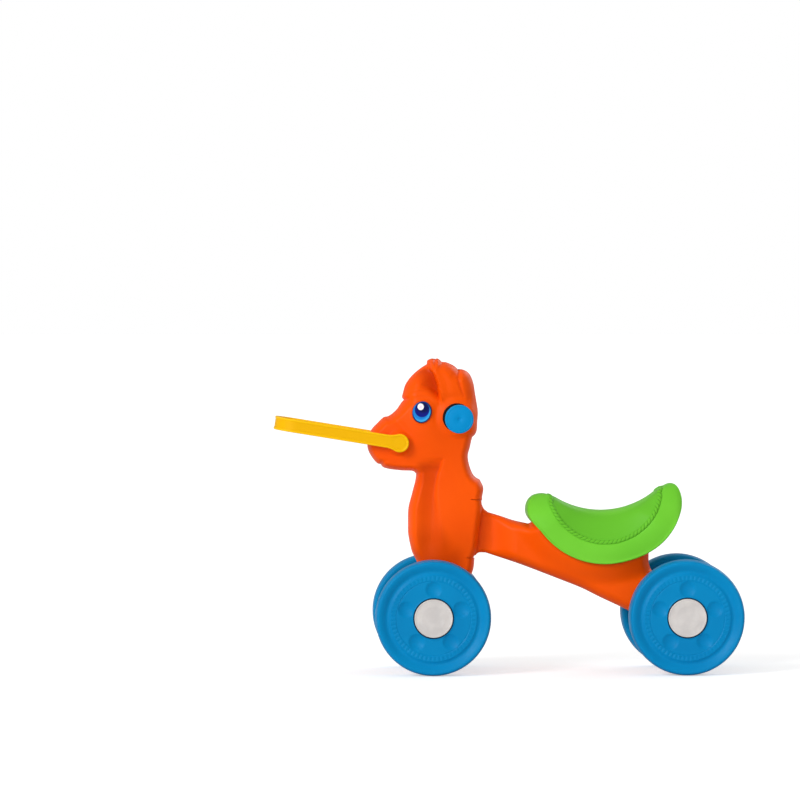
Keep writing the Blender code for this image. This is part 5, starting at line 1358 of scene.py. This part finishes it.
def eye_finish():
    """The printed eye: navy rim, blue iris, a large navy pupil set high, and a white highlight."""
    made = plastic("eye_print", (20, 30, 90), (16, 24, 80), (0.20, 0.26), bump_height=0.00001)
    tree = made.node_tree
    where = node(tree, "ShaderNodeTexCoord")
    apart = node(tree, "ShaderNodeSeparateXYZ", {"Vector": where.outputs["Object"]})
    flat = node(tree, "ShaderNodeCombineXYZ", {"X": apart.outputs["X"], "Y": apart.outputs["Z"]})
    x, z = from_front(*EYE)

    def disc(right, up, wide, tall, lean, soft):
        """A mask, 1 inside an oval at a place in the side view."""
        centred = node(tree, "ShaderNodeMapping",
                       {"Vector": flat.outputs["Vector"], "Location": (x + right, z + up, 0.0),
                        "Rotation": (0.0, 0.0, lean), "Scale": (wide, tall, 1.0)}, vector_type="TEXTURE")
        reach = node(tree, "ShaderNodeVectorMath", {0: centred.outputs["Vector"]}, operation="LENGTH")
        mask = node(tree, "ShaderNodeMapRange", {"Value": reach.outputs["Value"], "From Min": 1.0 - soft,
                                                 "From Max": 1.0 + soft, "To Min": 1.0, "To Max": 0.0})
        return mask.outputs["Result"]

    tint = linear((22, 40, 92))
    for colour, right, up, wide, tall, lean, soft in (
            ((60, 172, 232), 0.0, 0.0, 0.0130, 0.0151, -EYE_LEAN, 0.045),
            ((24, 128, 214), -0.0016, 0.0022, 0.0128, 0.0142, -EYE_LEAN, 0.12),
            ((14, 26, 128), 0.0002, 0.0040, 0.0114, 0.0118, -EYE_LEAN, 0.045),
            ((8, 14, 78), 0.0012, 0.0075, 0.0098, 0.0082, -EYE_LEAN, 0.25),
            ((255, 252, 255), -0.0021, 0.0086, 0.0049, 0.0052, 0.0, 0.045),
            ((246, 220, 250), -0.0019, 0.0082, 0.0020, 0.0022, 0.0, 0.5)):
        tint = blend(tree, disc(right, up, wide, tall, lean, soft), tint, linear(colour))
    tree.links.new(tint, tree.nodes["Principled BSDF"].inputs["Base Color"])
    return made


eye_print = eye_finish()


def paint(obj, finish):
    """Gives a piece its finish."""
    obj.data.materials.clear()
    obj.data.materials.append(finish)


def carry_over():
    """The frame's own small parts keep their shapes and get their finishes."""
    for name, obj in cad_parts.items():
        for slot in obj.material_slots:
            slot.material = nylon if name.startswith(("washer", "steering_bush")) else steel


# Floor, light and camera

SKY_LOW = 0.42
SKY_HIGH = 0.55
FLOOR_GLOW = 0.47
SUNS = (  # name, where it shines from, power, and how wide it is in degrees
    ("key_light", (-1.15, -1.25, 0.85), 1.5, 20.0),
    ("front_fill", (-0.35, -1.0, 0.12), 0.75, 30.0),
    ("back_fill", (0.9, 1.1, 0.7), 0.70, 40.0))
CAMERA_PLACE = (-0.4004, -7.5805, 0.6051)
CAMERA_YAW = 0.03071
CAMERA_PITCH = 0.02349
CAMERA_LENS = 217.2


def studio_air():
    """The air round the set: plain white to the lens, and a soft sky that is brightest overhead."""
    world = bpy.data.worlds.new("studio_air")
    bpy.context.scene.world = world
    world.use_nodes = True
    tree = world.node_tree
    air = tree.nodes["Background"]
    where = node(tree, "ShaderNodeTexCoord")
    apart = node(tree, "ShaderNodeSeparateXYZ", {"Vector": where.outputs["Generated"]})
    sky = node(tree, "ShaderNodeMapRange", {"Value": apart.outputs["Z"], "From Min": 0.0, "From Max": 1.0,
                                            "To Min": SKY_LOW, "To Max": SKY_HIGH})
    ray = node(tree, "ShaderNodeLightPath")
    shown = node(tree, "ShaderNodeMix", {0: ray.outputs["Is Camera Ray"], 2: sky.outputs["Result"], 3: 1.0},
                 data_type="FLOAT")
    tree.links.new(shown.outputs[0], air.inputs["Strength"])
    air.inputs["Color"].default_value = (1.0, 1.0, 1.0, 1.0)


def studio():
    """A wide pale floor, a broad soft key from the upper left, two fills, and the camera."""
    put_down()
    bpy.ops.mesh.primitive_plane_add(size=300.0)
    floor = named("studio_floor")
    floor_finish = bpy.data.materials.new("studio_white")
    floor_finish.use_nodes = True
    tree = floor_finish.node_tree
    shader = tree.nodes["Principled BSDF"]
    shader.inputs["Base Color"].default_value = (0.80, 0.80, 0.80, 1.0)
    shader.inputs["Roughness"].default_value = 0.9
    shader.inputs["Specular IOR Level"].default_value = 0.1
    shader.inputs["Emission Color"].default_value = (1.0, 1.0, 1.0, 1.0)
    ray = node(tree, "ShaderNodeLightPath")
    glow = node(tree, "ShaderNodeMath", {0: ray.outputs["Is Camera Ray"], 1: FLOOR_GLOW}, operation="MULTIPLY")
    tree.links.new(glow.outputs[0], shader.inputs["Emission Strength"])
    floor.data.materials.append(floor_finish)
    studio_air()
    for name, place, power, width in SUNS:
        sun = bpy.data.lights.new(name, "SUN")
        sun.energy = power
        sun.angle = math.radians(width)
        holder = bpy.data.objects.new(name, sun)
        holder.rotation_euler = (-Vector(place)).to_track_quat("-Z", "Y").to_euler()
        bpy.context.scene.collection.objects.link(holder)
    lens = bpy.data.cameras.new("camera")
    lens.lens = CAMERA_LENS
    lens.sensor_width = 36.0
    lens.clip_end = 60.0
    camera = bpy.data.objects.new("camera", lens)
    camera.location = CAMERA_PLACE
    ahead = Vector((math.sin(CAMERA_YAW) * math.cos(CAMERA_PITCH), math.cos(CAMERA_YAW) * math.cos(CAMERA_PITCH),
                    -math.sin(CAMERA_PITCH)))
    camera.rotation_euler = ahead.to_track_quat("-Z", "Y").to_euler()
    bpy.context.scene.collection.objects.link(camera)
    bpy.context.scene.camera = camera
    bpy.context.scene.view_settings.view_transform = "Standard"


studio()
carry_over()
pony_halves()
eyes()
frame_halves()
saddle()
saddle_trim()
wheels()
grips()
rein_handle()
put_down()
